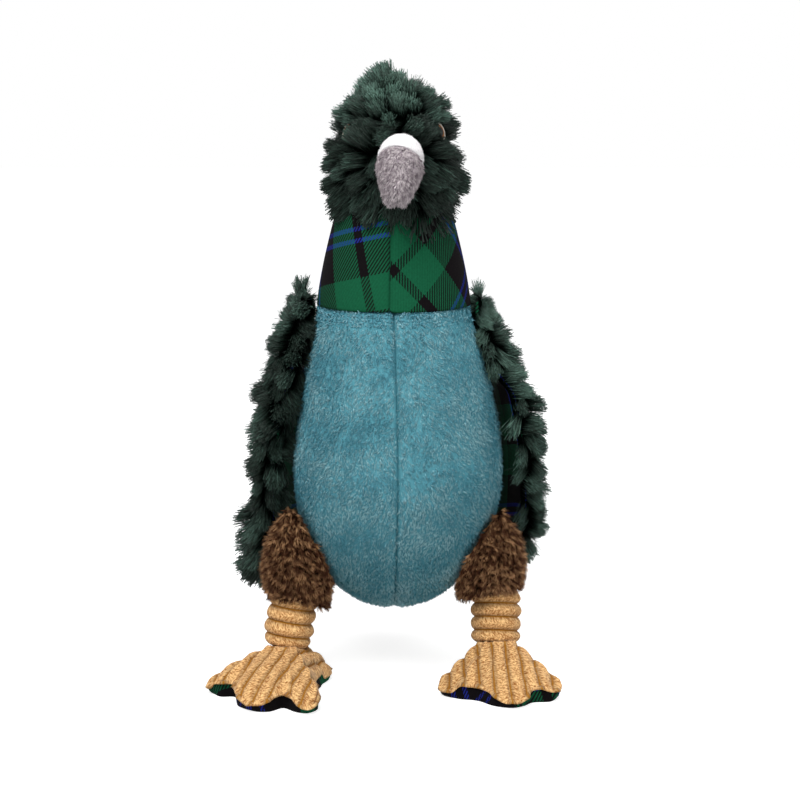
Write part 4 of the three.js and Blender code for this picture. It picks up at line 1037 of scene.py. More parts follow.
class BIRD_OT_squeaker(Operator):
    """Finish the squeaker inside the body"""

    bl_idname = "bird.squeaker"
    bl_label = "Squeaker"

    def execute(self, context):
        plastic = plastic_material(context.scene.bird_toy.colours.plastic)
        for name in ("squeaker_bulb", "squeaker_reed"):
            node = frame["nodes"][name]
            node.data.materials.clear()
            node.data.materials.append(plastic)
        return {"FINISHED"}


# Neck

NECK_ROWS = 40
NECK_COLUMNS_PER_DEGREE = 0.6


class BIRD_OT_neck(Operator):
    """Sew the three tartan panels of the neck, between the body and the head"""

    bl_idname = "bird.neck"
    bl_label = "Neck"

    def execute(self, context):
        toy = context.scene.bird_toy
        neck, body, colours = toy.neck, toy.body, toy.colours
        top = NECK_SEAM + neck.height
        rise = np.linspace(0, 1, NECK_ROWS)
        radius = neck.seam_radius - (neck.seam_radius - neck.top_radius) * rise**neck.power
        height = NECK_SEAM + neck.height * rise
        drop = top - HEAD_PIVOT[2]
        dome = math.hypot(neck.top_radius, drop)
        lean = math.asin(neck.top_radius / dome) * (1 - np.arange(1, DOME_ROWS + 1) / DOME_ROWS)
        radius = np.concatenate([[neck.seam_radius - 3 * MM], radius, dome * np.sin(lean)])
        height = np.concatenate([[NECK_SEAM - 1 * MM], height, HEAD_PIVOT[2] + dome * np.cos(lean)])
        panels = {
            "neck_front_left": (-3, 90, neck.bias_turn, (1.8 * MM, 18.6 * MM)),
            "neck_front_right": (-90, -3, neck.square_turn, (-8.2 * MM, -2.3 * MM)),
            "neck_back": (90, 270, neck.bias_turn, (0, 0)),
        }
        for name, (first, last, turn, start) in panels.items():
            columns = round((last - first) * NECK_COLUMNS_PER_DEGREE)
            turns = np.radians(np.linspace(first, last, columns + 1))
            x = MIDDLE_X + radius[:, None] * np.sin(turns)
            y = NECK_Y - radius[:, None] * np.cos(turns)
            grid = np.stack([x, y, height[:, None] + 0 * turns], -1)
            axis = [np.full(len(grid), MIDDLE_X), np.full(len(grid), NECK_Y), height - 8 * MM]
            middle = np.stack(axis, -1)[:, None]
            normals = outward(grid, False, middle)
            cloth = flat_cloth(grid)
            from_front = cloth[..., 0] if last > 0 else cloth[..., 0] - cloth[..., 0].max(1, keepdims=True)
            width = cloth[..., 0].max(1, keepdims=True)
            near = np.minimum(cloth[..., 0], width - cloth[..., 0]) / (3 * MM)
            outer = grid - normals * (1.1 * MM * np.exp(-2.5 * near))[..., None]
            flat = np.stack([from_front, height[:, None] - NECK_SEAM + 0 * from_front], -1)
            grain = turned_cloth(flat, turn, start)
            piece = layer(name, outer, outer - normals * body.cloth, grain, tartan(colours))
            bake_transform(piece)
            nodes = [name.replace("neck", "neck_panel")] + (["neck_stuffing"] if name == "neck_back" else [])
            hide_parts(*nodes)
        return {"FINISHED"}


# Head

HEAD_WIDEST = 0.4
CHIN_ROUND = 2 / 3
HEAD_ROWS = 50
HEAD_COLUMNS = 72


def head_points(head, shares, turns, inset):
    """Points of the head, from its chin, 0, to its crown, 1, at a depth under its pile."""
    centre = HEAD_TOP - head.crown
    chin = np.minimum(shares / HEAD_WIDEST, 1) * math.pi / 2
    crown = np.maximum((shares - HEAD_WIDEST) / (1 - HEAD_WIDEST), 0) * math.pi / 2
    low_radius = (head.radius - inset) * np.sin(chin) ** CHIN_ROUND
    low_share = np.maximum(np.cos(chin), 0) ** CHIN_ROUND
    high_radius = (head.radius - inset) * np.cos(crown)
    high_height = centre + (head.crown - inset) * np.sin(crown)
    upper = shares > HEAD_WIDEST
    radius = np.where(upper, high_radius, low_radius)[:, None]
    drop = head.chin - inset + head.chin_hang * np.maximum(np.cos(turns), 0)
    height = np.where(upper[:, None], high_height[:, None], centre - drop * low_share[:, None])
    depth = np.where(np.cos(turns) > 0, head.face_depth, head.nape_depth)
    x = MIDDLE_X + radius * np.sin(turns)
    y = NECK_Y - radius * np.cos(turns) * depth
    return np.stack([x, y, height], -1)


def eye_place(label):
    """Middle of an eye, and the way that it looks."""
    low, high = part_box(f"eye_white_{label}")
    pupil_low, pupil_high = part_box(f"eye_pupil_{label}")
    seat = np.array((low + high) / 2)
    return seat, unit(np.array((pupil_low + pupil_high) / 2) - seat)


def beak_root(head, beak):
    face = NECK_Y - head.radius * head.face_depth
    return np.array([MIDDLE_X + beak.root_aside, face, HEAD_TOP - head.crown + beak.root_rise])


PARTING_WIDTH = 4 * MM
EYE_CLEARING = 6 * MM
BEAK_CLEARING = 7 * MM
TUFT_WIDTH = 5 * MM
# Level, spread and extra length of the locks on each cheek, as shares of the head and of its pile
CHEEK_TUFTS = {
    "left": [(0.52, 0.07, 0.1), (0.36, 0.06, -0.1), (0.25, 0.06, 0.3)],
    "right": [(0.62, 0.08, -0.15), (0.44, 0.07, -0.2), (0.26, 0.06, 0.3), (0.1, 0.05, -0.35)],
}


class BIRD_OT_head(Operator):
    """Grow the two fur halves of the head"""

    bl_idname = "bird.head"
    bl_label = "Head"

    def execute(self, context):
        toy = context.scene.bird_toy
        head, pile = toy.head, toy.pile
        root = beak_root(head, toy.beak)
        shares = np.linspace(0.1, 1, HEAD_ROWS)
        middle = np.array([MIDDLE_X, NECK_Y, HEAD_TOP - head.crown])
        for label, side in SIDES.items():
            turns = np.radians(np.linspace(0.4, 179.6, HEAD_COLUMNS)) * side
            outer = head_points(head, shares, turns, head.backing)
            inner = head_points(head, shares, turns, head.backing + 1.2 * MM)
            normals = outward(outer, False, middle)
            away = unit(outer - root)
            away = unit(away - normals * np.sum(away * normals, -1, keepdims=True))
            low = smooth_step((middle[2] + 15 * MM - outer[..., 2]) / (35 * MM))[..., None]
            high = smooth_step((outer[..., 2] - middle[2] - 15 * MM) / (25 * MM))[..., None]
            parting = np.exp(-(((outer[..., 0] - MIDDLE_X) / PARTING_WIDTH) ** 2))
            comb = (0.85 + 0.4 * high) * normals + 0.55 * away + (0.15 + 0.55 * low) * DOWN
            comb[..., 0] -= 0.5 * side * parting
            comb = unit(comb)
            growth = np.ones(outer.shape[:2])
            spot, look = eye_place(label)
            reach = outer - spot + EYE_RISE * DOWN
            beside = reach - np.sum(reach * look, -1, keepdims=True) * look
            growth[(np.linalg.norm(beside, axis=-1) < EYE_CLEARING) & (reach[..., 1] < 3 * MM)] = 0
            hollow = np.abs(reach[..., 2]) < EYE_CLEARING
            hollow = hollow & (reach[..., 1] < 2 * MM) & (reach[..., 1] > -13 * MM)
            growth = growth * (1 + parting)
            near_beak = np.hypot(outer[..., 0] - root[0], outer[..., 2] - root[2]) < BEAK_CLEARING
            growth[near_beak & (outer[..., 1] < NECK_Y)] = 0
            # The top of the head is painted lighter: painted light from above
            tint = (0.2 if side > 0 else 0.25) + 0.4 * high[..., 0]
            front = smooth_step((np.cos(turns) - 0.1) / 0.5)
            chin = smooth_step((0.38 - shares) / 0.15)[:, None]
            top = middle + [-1 * MM, 0, 0]
            tuft = np.exp(-np.sum(((outer - top) * [1, 1, 0] / TUFT_WIDTH) ** 2, -1)) * high[..., 0]
            tall = 1 - 0.18 * high[..., 0] + 0.15 * tuft + chin * (0.95 * front - 0.45)
            for level, spread, extra in CHEEK_TUFTS[label]:
                tall = tall + extra * np.exp(-(((shares - level) / spread) ** 2))[:, None] * (1 - front)
            tall = np.where(hollow, 0.62, tall)
            grown = (green_fur(toy.colours), pile.head, pile.head_strands, pile.seed + side, tint, tall)
            piece = furred(f"head_fur_{label}", "head", outer, inner, comb, growth, *grown)
            nodes = [f"head_panel_{label}"] + (["head_stuffing"] if side > 0 else [])
            place(piece, "head", nodes)
        return {"FINISHED"}


# Beak

# Shares of the beak's length where its tip blunts and where its root starts, inside the head's fur
BEAK_BLUNT = 0.9
BEAK_ROOT = -0.12
BEAK_ROWS = 40
BEAK_COLUMNS = 48


def beak_spine(head, beak, shares):
    """Middle line of the beak and the way that it runs, at shares of its length."""
    face = NECK_Y - head.radius * head.face_depth
    centre = HEAD_TOP - head.crown
    root = np.array([MIDDLE_X + beak.root_aside, face + 8.8 * MM, centre + beak.root_rise])
    brow = np.array([MIDDLE_X + beak.root_aside, face - beak.reach + beak.curl, centre + beak.brow_rise])
    tip = np.array([MIDDLE_X + beak.tip_aside, face - beak.reach, centre - beak.tip_drop])
    t = (np.minimum(shares, BEAK_BLUNT) + 0.5 * np.maximum(shares - BEAK_BLUNT, 0))[..., None]
    line = root * (1 - t) ** 2 + brow * 2 * t * (1 - t) + tip * t**2
    way = unit(2 * (1 - t) * (brow - root) + 2 * t * (tip - brow))
    return line, way


def beak_points(head, beak, shares, turns, grow):
    """Points of the beak at shares of its length and turns from its top, and the way that it runs."""
    line, way = beak_spine(head, beak, shares)
    up = np.stack([0 * way[..., 0], way[..., 2], -way[..., 1]], -1)
    taper = np.maximum(1 - np.maximum(shares, 0) ** 2.6, 0) ** 0.62
    root = 0.8 + 0.2 * smooth_step(shares / 0.45)
    rise = (beak.half_height * root + grow) * taper * np.cos(turns)
    points = line + up * rise[..., None]
    side_reach = (beak.half_width * root + grow) * taper * np.sin(turns)
    points[..., 0] += side_reach
    pulled = beak.notch * np.exp(-((side_reach / (1.6 * MM)) ** 2)) * smooth_step((shares - 0.78) / 0.22)
    points = points - way * pulled[..., None]
    return points, line, way


class BIRD_OT_beak(Operator):
    """Sew the plush beak and its white cere"""

    bl_idname = "bird.beak"
    bl_label = "Beak"

    def execute(self, context):
        toy = context.scene.bird_toy
        beak, colours = toy.beak, toy.colours
        shades = (colours.beak_deep, colours.beak, colours.beak_light)
        grey = pile_material("Grey plush", *shades, *BEAK_LOOK)
        white = pile_material("White plush", *[colours.cere] * 3, *BEAK_LOOK)
        upper = beak.upper_turn
        under = 2 * math.pi - upper
        self.sew("beak_cere", BEAK_ROOT, None, -upper, upper, white, "white_plush", ["cere"])
        self.sew("beak_top", None, 1, -upper, upper, grey, "grey_plush", ["beak_upper", "beak_stuffing"])
        self.sew("beak_bottom", BEAK_ROOT, 1, upper + 0.02, under - 0.02, grey, "grey_plush", ["beak_lower"])
        return {"FINISHED"}

    def sew(self, name, start, end, first, last, material, slot, nodes):
        """One panel of the beak. A start or an end that is None lies at the edge of the cere."""
        toy = bpy.context.scene.bird_toy
        beak, pile = toy.beak, toy.pile
        across, along = np.linspace(0, 1, BEAK_COLUMNS), np.linspace(0, 1, BEAK_ROWS)[:, None]
        turns = first + (last - first) * across
        cere = beak.cere * (1 - 0.3 * np.sin(turns / 2) ** 2) + beak.cere_skew * (np.sin(turns) - 1)
        begin = cere + 0.01 if start is None else start
        finish = cere if end is None else end
        shares = begin + (finish - begin) * along + 0 * across
        turns = np.broadcast_to(turns, shares.shape)
        edge = np.minimum(across, 1 - across)
        ends = np.minimum(along, 1 - along)
        drawn = 0.9 * MM * (np.exp(-18 * edge) + np.exp(-14 * ends))
        lift = 0.4 * MM if end is None else 0
        outer, line, way = beak_points(toy.head, beak, shares, turns, lift - 1.2 * MM - drawn)
        inner, _, _ = beak_points(toy.head, beak, shares, turns, lift - 2.4 * MM - drawn)
        normals = unit(outer - line)
        comb = unit(0.4 * normals + 0.9 * way)
        # Lighter down the beak's top middle as a painted highlight, and a little lighter toward its tip
        tint = 0.46 + 0.36 * np.exp(-((turns / 0.5) ** 2)) + 0.15 * shares
        growth = np.ones(outer.shape[:2])
        strands = 2.4 * pile.plush_strands
        tall = pile.beak * (0.5 if end is None else 1)
        piece = furred(name, "nap", outer, inner, comb, growth, material, tall, strands, pile.seed + 3, tint)
        place(piece, "head", nodes)


# Eyes

EYE_TURN = math.radians(16)
EYE_RISE = 2.5 * MM
EYE_SINK = 1.9 * MM
EYE_FLAT = 0.5


class BIRD_OT_eyes(Operator):
    """Cut the felt discs of the eyes"""

    bl_idname = "bird.eyes"
    bl_label = "Eyes"

    def execute(self, context):
        colours = context.scene.bird_toy.colours
        felts = {
            "white": felt_material("White felt", colours.felt_white),
            "iris": felt_material("Amber felt", colours.felt_amber),
            "pupil": felt_material("Black felt", colours.felt_black),
        }
        for label, side in SIDES.items():
            seat, look = eye_place(label)
            for part, felt in felts.items():
                node = f"eye_{part}_{label}"
                piece = self.disc(f"eye_{part}_felt_{label}", node, seat, look, side, felt)
                place(piece, "head", [node])
        return {"FINISHED"}

    def disc(self, name, node, seat, look, side, felt):
        """A domed disc with a rounded rim, in the place of a node, turned a little to the front."""
        points = np.array([vertex.co for vertex in frame["nodes"][node].data.vertices])
        level = points @ look
        middle = points.mean(0)
        middle = middle - look * (middle @ look)
        radius = np.linalg.norm(points - look * level[:, None] - middle, axis=-1).max()
        rim = EYE_FLAT * (level.max() - level.min()) / 2
        lift = EYE_FLAT * (level.min() - seat @ look) - EYE_SINK
        bend = np.linspace(-math.pi / 2, math.pi / 2, 9)
        inward = np.linspace(1, 0, 8)[1:]
        radii = np.concatenate([[0], radius - rim + rim * np.cos(bend), (radius - rim) * inward])
        rises = np.concatenate([[0], rim + rim * np.sin(bend), 2 * rim + 0.2 * MM * (1 - inward**2)])
        turns = np.linspace(0, 2 * math.pi, 40, endpoint=False)
        across = unit(np.cross(look, DOWN))
        ring = np.cos(turns)[:, None] * across + np.sin(turns)[:, None] * np.cross(across, look)
        grid = middle + look * (seat @ look + lift + rises)[:, None, None] + radii[:, None, None] * ring
        grid = turned_about(grid, seat, -DOWN, -side * EYE_TURN)
        grid = grid - EYE_RISE * DOWN
        return lump(name, grid, flat_cloth(grid, True), felt)


# Wings

WING_ROWS = 64
WING_COLUMNS = 44


def wing_points(wing, side, across, offset):
    """Points of a wing at shares across it and an offset from its middle, with its fullness and fall."""
    hinge = JOINTS[f"wing_{'left' if side > 0 else 'right'}_lift"]
    toy = bpy.context.scene.bird_toy
    fall = wing_falls(wing)
    share = fall / wing.length
    height = hinge[2] - fall
    along = np.maximum(share, 0)
    out = (share - wing.widest) / np.where(share < wing.widest, wing.widest, 1 - wing.widest)
    upper = wing.half_width - (wing.half_width - wing.shoulder_half_width) * out**2
    lower = wing.half_width * np.sqrt(np.maximum(1 - out**2, 0))
    half_width = np.where(share < wing.widest, upper, lower)
    y = wing.back + wing.sweep * along**1.3 + half_width * across
    hug = rounded(fall, 40 * MM) * y * y / (2 * wing.hug_radius)
    full = np.sqrt(np.maximum(1 - across**4, 0)) * rounded(fall + wing.top, wing.top)
    full = full * rounded(wing.length - fall, wing.tip_round)
    belly = BODY_BOTTOM + toy.body.belly_drop

    def spread(level):
        rise = (np.clip(level, belly, hinge[2]) - belly) / (NECK_SEAM - belly)
        return toy.body.half_width - (toy.body.half_width - toy.neck.seam_radius) * rise**1.5

    tuck = wing.top_tuck * smooth_step((40 * MM - fall) / (46 * MM)) * (1 if side > 0 else 0.5)
    if side > 0:
        tuck = tuck - wing.open_flare * wing_opening(fall) * smooth_step(-(across + 0.1) / 0.9)
    x = abs(hinge[0] - MIDDLE_X) + spread(height) - spread(hinge[2]) - hug - tuck + offset(along, full)
    points = np.stack([MIDDLE_X + side * x, hinge[1] + y, height + 0 * y], -1)
    return points, full, fall


def wing_falls(wing):
    """Levels of the wing's rows under its hinge, closer together at both ends."""
    shares = (1 - np.cos(math.pi * np.linspace(0, 1, WING_ROWS))) / 2
    return ((wing.top + wing.length) * shares - wing.top)[:, None]


def wing_opening(fall):
    """How far the left wing's front edge stands open at levels under its hinge, from 0 to 1."""
    return smooth_step((fall - 24 * MM) / (14 * MM)) * smooth_step((118 * MM - fall) / (14 * MM))


class BIRD_OT_wings(Operator):
    """Sew the two wings, fur outside and tartan inside"""

    bl_idname = "bird.wings"
    bl_label = "Wings"

    def execute(self, context):
        toy = context.scene.bird_toy
        wing = toy.wing
        across = -np.cos(math.pi * np.linspace(0, 1, WING_COLUMNS))[None, :]
        for label, side in SIDES.items():
            self.sew_fur(label, side, across, toy)
            swell = wing.inner * wing.lining
            front, _, _ = wing_points(wing, side, across, lambda along, full: -0.2 * MM - swell * full)
            back, _, _ = wing_points(wing, side, across, lambda along, full: -0.15 * MM - 0.8 * swell * full)
            grain = turned_cloth(flat_cloth(front), 0.1, (-29 * MM, -4 * MM))
            lining = layer(f"wing_lining_cloth_{label}", front, back, grain, tartan(toy.colours))
            place(lining, f"wing_{label}", [f"wing_lining_{label}"])
        return {"FINISHED"}

    def sew_fur(self, label, side, across, toy):
        """The fur side of a wing, folded round its front edge; the left wing's fold opens halfway down."""
        wing, pile = toy.wing, toy.pile
        fall = wing_falls(wing)
        opened = wing_opening(fall) * (side > 0)
        fold = wing.wrap / wing.half_width * (1 - 0.9 * opened)
        fold = fold * np.minimum(1, (wing.length - fall) / wing.tip_round)
        band = np.linspace(1, 0, 10)[None, :-1]
        places = np.concatenate([-1 + fold * band, np.broadcast_to(across, (WING_ROWS, WING_COLUMNS))], 1)
        folded = np.concatenate([band + 0 * fold, np.zeros((WING_ROWS, WING_COLUMNS))], 1)
        on_band = folded > 0
        swell = wing.inner * wing.lining

        def outer_offset(along, full):
            thick = wing.outer_top + (wing.outer_low - wing.outer_top) * along - wing.backing
            flare = wing.flare * smooth_step((along - 0.62) / 0.2) * (side < 0)
            band_depth = -swell * full - 0.35 * MM - 0.8 * MM * np.minimum(1, 3 * folded)
            return np.where(on_band, band_depth, (thick + flare) * full)

        def inner_offset(along, full):
            return np.where(on_band, -swell * full - 0.3 * MM, 0.1 * MM - 0.2 * MM * full)

        outer, full, _ = wing_points(wing, side, places, outer_offset)
        inner, _, _ = wing_points(wing, side, places, inner_offset)
        normals = outward(outer, False)
        facing = np.sign(normals[:, -20, 0].mean()) * side
        normals = normals * facing
        middle = outer.mean((0, 1))
        rim = unit((outer - middle) * np.array([0, 1, 0.35]))
        edge = (1 - np.clip(full, 0, 1))[..., None]
        out, forward = np.array([side, 0, 0]), np.array([0, -1, 0])
        high = smooth_step((18 * MM - fall) / (16 * MM))[..., None]
        up = -DOWN
        front = smooth_step((-0.55 - places) / 0.4)[..., None]
        open_comb = (0.9 - 0.4 * front) * normals + 0.8 * front * forward + (0.15 + 0.6 * edge) * rim
        open_comb = open_comb + (0.4 - 0.6 * high) * DOWN + (0.3 - 0.7 * high) * out
        open_comb = open_comb + opened[..., None] * front * (0.4 * out - 0.3 * forward)
        tip = smooth_step((fall - 95 * MM) / (25 * MM)) * (0.3 if side > 0 else 1)
        open_comb = open_comb + 0.9 * tip[..., None] * out
        band_comb = 0.5 * normals + 0.4 * forward + 0.55 * DOWN
        band_comb = band_comb + high * (0.6 * up - 0.9 * out)
        comb = unit(np.where(on_band[..., None], band_comb, open_comb))
        band_growth = (1 - 0.6 * opened) * (1.3 + high[..., 0])
        growth = np.where(on_band, band_growth, 1 + 1.2 * front[..., 0] + 0.8 * high[..., 0])
        usual, shorter, shade = (0.76, 0.22, 0.62) if side > 0 else (0.85, 0.05, 0.38)
        tall = usual + 0.4 * tip - shorter * high[..., 0] + 0 * places
        # The shoulder of each wing is painted lighter: painted light from above
        tint = shade + 0.08 * high[..., 0]
        grown = (green_fur(toy.colours), pile.wing, pile.wing_strands, pile.seed + 10 + side, tint, tall)
        piece = furred(f"wing_fur_pile_{label}", "wing", outer, inner, comb, growth, *grown)
        place(piece, f"wing_{label}", [f"wing_fur_{label}", f"wing_padding_{label}"])


# Tail

TAIL_ROWS = 40
TAIL_COLUMNS = 36


def tail_points(tail, offset):
    """Points of the tail at an offset from its middle, and its fullness there."""
    pivot = JOINTS["tail_lift"]
    across = -np.cos(math.pi * np.linspace(0, 1, TAIL_COLUMNS))[None, :]
    along = tail.length * (1 - np.cos(math.pi * np.linspace(0, 1, TAIL_ROWS)))[:, None] / 2
    share = along / tail.length
    fan = tail.root_half_width + (tail.half_width - tail.root_half_width) * share
    half_width = fan * rounded(tail.length - along, tail.tip_round)
    ends = rounded(along, tail.half_thickness) * rounded(tail.length - along, tail.half_thickness)
    full = np.sqrt(np.maximum(1 - across**4, 0)) * ends
    lift = offset(full)
    back = along - tail.half_thickness
    y = back * math.cos(tail.slope) + lift * math.sin(tail.slope)
    z = lift * math.cos(tail.slope) - back * math.sin(tail.slope)
    return np.stack([pivot[0] + half_width * across, pivot[1] + y, pivot[2] + z], -1), full


class BIRD_OT_tail(Operator):
    """Sew the tail, fur above and tartan below"""

    bl_idname = "bird.tail"
    bl_label = "Tail"

    def execute(self, context):
        toy = context.scene.bird_toy
        tail, pile, colours = toy.tail, toy.pile, toy.colours
        outer, full = tail_points(tail, lambda full: tail.half_thickness * 0.4 * full)
        inner, _ = tail_points(tail, lambda full: 0.1 * MM - 0.2 * MM * full)
        normals = np.broadcast_to(np.array([0, math.sin(tail.slope), math.cos(tail.slope)]), outer.shape)
        backward = np.array([0, math.cos(tail.slope), -math.sin(tail.slope)])
        rim = unit(outer - outer.mean((0, 1)))
        edge = (1 - full)[..., None]
        comb = unit(0.7 * normals + 0.6 * backward + 0.6 * edge * rim)
        growth = np.ones(outer.shape[:2])
        grown = (green_fur(colours), 0.8 * pile.wing, pile.wing_strands, pile.seed + 20)
        piece = furred("tail_fur_pile", "wing", outer, inner, comb, growth, *grown)
        place(piece, "tail", ["tail_fur"])
        low, _ = tail_points(tail, lambda full: -0.2 * MM - tail.half_thickness * full)
        high, _ = tail_points(tail, lambda full: -0.15 * MM - tail.half_thickness * 0.8 * full)
        grain = turned_cloth(flat_cloth(low), 0, (20 * MM, 0))
        lining = layer("tail_lining_cloth", low, high, grain, tartan(colours))
        place(lining, "tail", ["tail_lining"])
        return {"FINISHED"}


# Thighs


def turned_about(points, pivot, axis, turn):
    """Points turned about a line through a pivot."""
    reach = points - pivot
    along = np.sum(reach * axis, -1, keepdims=True) * axis
    return pivot + along + (reach - along) * math.cos(turn) + np.cross(axis, reach) * math.sin(turn)


def clear_of_torso(points, body, neck, gap):
    """Points moved straight out of the body where they lie inside it."""
    shares = np.linspace(0, 1, 200)
    radius, height = torso_profile(body, neck, shares)
    at_height = np.interp(points[..., 2], height, radius, left=0, right=0)
    across, middle, share = torso_axis(body, points[..., 2])
    depth = np.where(points[..., 1] < middle, 1 + body.bulge * np.sin(math.pi * share), 1)
    dx, dy = points[..., 0] - across, (points[..., 1] - middle) / depth
    far = np.maximum(np.hypot(dx, dy), TINY)
    scale = np.maximum((at_height + gap) / far, 1) * (at_height > 0) + (at_height <= 0)
    return np.stack([across + dx * scale, middle + dy * scale * depth, points[..., 2]], -1)


THIGH_ROWS = 44
THIGH_COLUMNS = 56
THIGH_SWINGS = 6
# Radii of the socket that the ankle sits in, and their heights over the hem
SOCKET_RADII = np.array([12.35, 12.2, 12.2, 7.32, 0]) * MM
SOCKET_RISES = np.array([0, 1, 6, 6.6, 6.8]) * MM


class BIRD_OT_thighs(Operator):
    """Grow the brown fur thighs"""

    bl_idname = "bird.thighs"
    bl_label = "Thighs"

    def execute(self, context):
        toy = context.scene.bird_toy
        leg, pile, colours = toy.leg, toy.pile, toy.colours
        shades = (colours.thigh_root_shade, colours.thigh_tip, colours.thigh_light)
        fur = pile_material("Mottled fur", *shades, *BROWN_FUR_LOOK)
        joints = {joint["name"]: joint for joint in frame["joints"]}
        for label, side in SIDES.items():
            hip, knee = JOINTS[f"hip_{label}"], JOINTS[f"knee_{label}"]
            line = np.array(joints[f"hip_{label}"]["axis"])
            limit = math.radians(joints[f"hip_{label}"]["range_deg"][1])
            hem = leg.thigh_length - (4 * MM if side > 0 else 0)
            drop = np.concatenate([np.linspace(-leg.thigh_top, hem, THIGH_ROWS), [hem] * len(SOCKET_RADII)])
            share = np.clip((drop + leg.thigh_top) / (leg.thigh_widest + leg.thigh_top), 0, 1)
            taper = np.clip((drop - leg.thigh_widest) / (hem - leg.thigh_widest), 0, 1)
            swell = leg.thigh_radius * np.sin(math.pi / 2 * share**0.8)
            radius = swell + (leg.hem_radius - leg.thigh_radius) * taper**2
            radius = np.maximum(radius - leg.thigh_backing, 0)
            radius[THIGH_ROWS:] = SOCKET_RADII
            height = hip[2] - drop
            height[THIGH_ROWS:] = height[THIGH_ROWS - 1] + SOCKET_RISES
            turns = np.linspace(0, 2 * math.pi, THIGH_COLUMNS, endpoint=False)
            down = np.clip((hip[2] - height) / (hip[2] - knee[2]), -0.2, 1.1)[:, None]
            x = hip[0] + (knee[0] - hip[0]) * down + radius[:, None] * np.sin(turns)
            y = hip[1] + (knee[1] - hip[1]) * down - radius[:, None] * np.cos(turns)
            inner_side = np.maximum(-np.sin(turns) * side, 0)
            inward = inner_side[None, :] * smooth_step((drop - 26 * MM) / (14 * MM))[:, None]
            inward[THIGH_ROWS:] = 0
            flap = inner_side * np.maximum(np.cos(turns) + 0.5, 0)
            lap = smooth_step((drop + 4 * MM) / (22 * MM)) - 0.5 * smooth_step((drop - 28 * MM) / (12 * MM))
            flap = flap * lap[:, None]
            flap[THIGH_ROWS:] = 0
            x = x - side * flap * leg.flap
            y = y - flap * leg.flap
            grid = np.stack([x, y, height[:, None] - 5 * MM * inward], -1)
            for swing in np.linspace(0, limit, THIGH_SWINGS):
                moved = turned_about(grid, hip, line, swing)
                cleared = clear_of_torso(moved, toy.body, toy.neck, leg.thigh_backing)
                grid = turned_about(cleared, hip, line, -swing)
            middle_x = hip[0] + (knee[0] - hip[0]) * down[:, 0]
            middle_y = hip[1] + (knee[1] - hip[1]) * down[:, 0]
            axis = np.stack([middle_x, middle_y, height], -1)
            normals = unit(grid - axis[:, None])
            normals[:4] = unit(normals[:4] - DOWN * 0.6)
            comb = unit(0.75 * normals + 0.65 * DOWN)
            growth = np.ones(grid.shape[:2])
            growth[THIGH_ROWS:] = 0
            inner = axis[:, None] + (grid - axis[:, None]) * 0.98
            tint = 0.5 + 0.2 * rough(grid, 3 * MM, 6)
            grown = (fur, pile.thigh, pile.thigh_strands, pile.seed + 30 + side, tint)
            piece = furred(f"thigh_fur_pile_{label}", "thigh", grid, inner, comb, growth, *grown, wrap=True)
            nodes = [f"thigh_fur_{label}", f"thigh_stuffing_{label}"]
            place(piece, f"thigh_{label}", nodes)
        return {"FINISHED"}


# Ankles and feet


def wale_crest(phase):
    """Height of a wale, 0 in the groove, at whole phases, and 1 on the crest."""
    return np.abs(np.sin(math.pi * phase)) ** 0.55


def fuzzy(grid, seed):
    """Uneven height of the corduroy's pile."""
    return rough(grid, 1.1 * MM, seed) * 0.15 * MM + rough(grid, 6 * MM, seed + 1) * 0.4 * MM


# How the ankle and the foot of each leg stand: degrees for wale_out, shares for plump and the rings'
# slopes, and millimetres for the rest
FOOT_STANCES = {
    "left": {
        **{"wale_out": 2, "knee_aside": 2.2, "aside": 2.2, "forward": 0, "height": 27.5},
        **{"ring_front": 0.3, "ring_across": 0.03, "ring_drop": 0, "plump": 0.16},
    },
    "right": {
        **{"wale_out": -19, "knee_aside": -0.7, "aside": -3.7, "forward": 2, "height": 22},
        **{"ring_front": 0.12, "ring_across": 0.17, "ring_drop": 1.5, "plump": 0.42},
    },
}


ANKLE_COLUMNS = 120


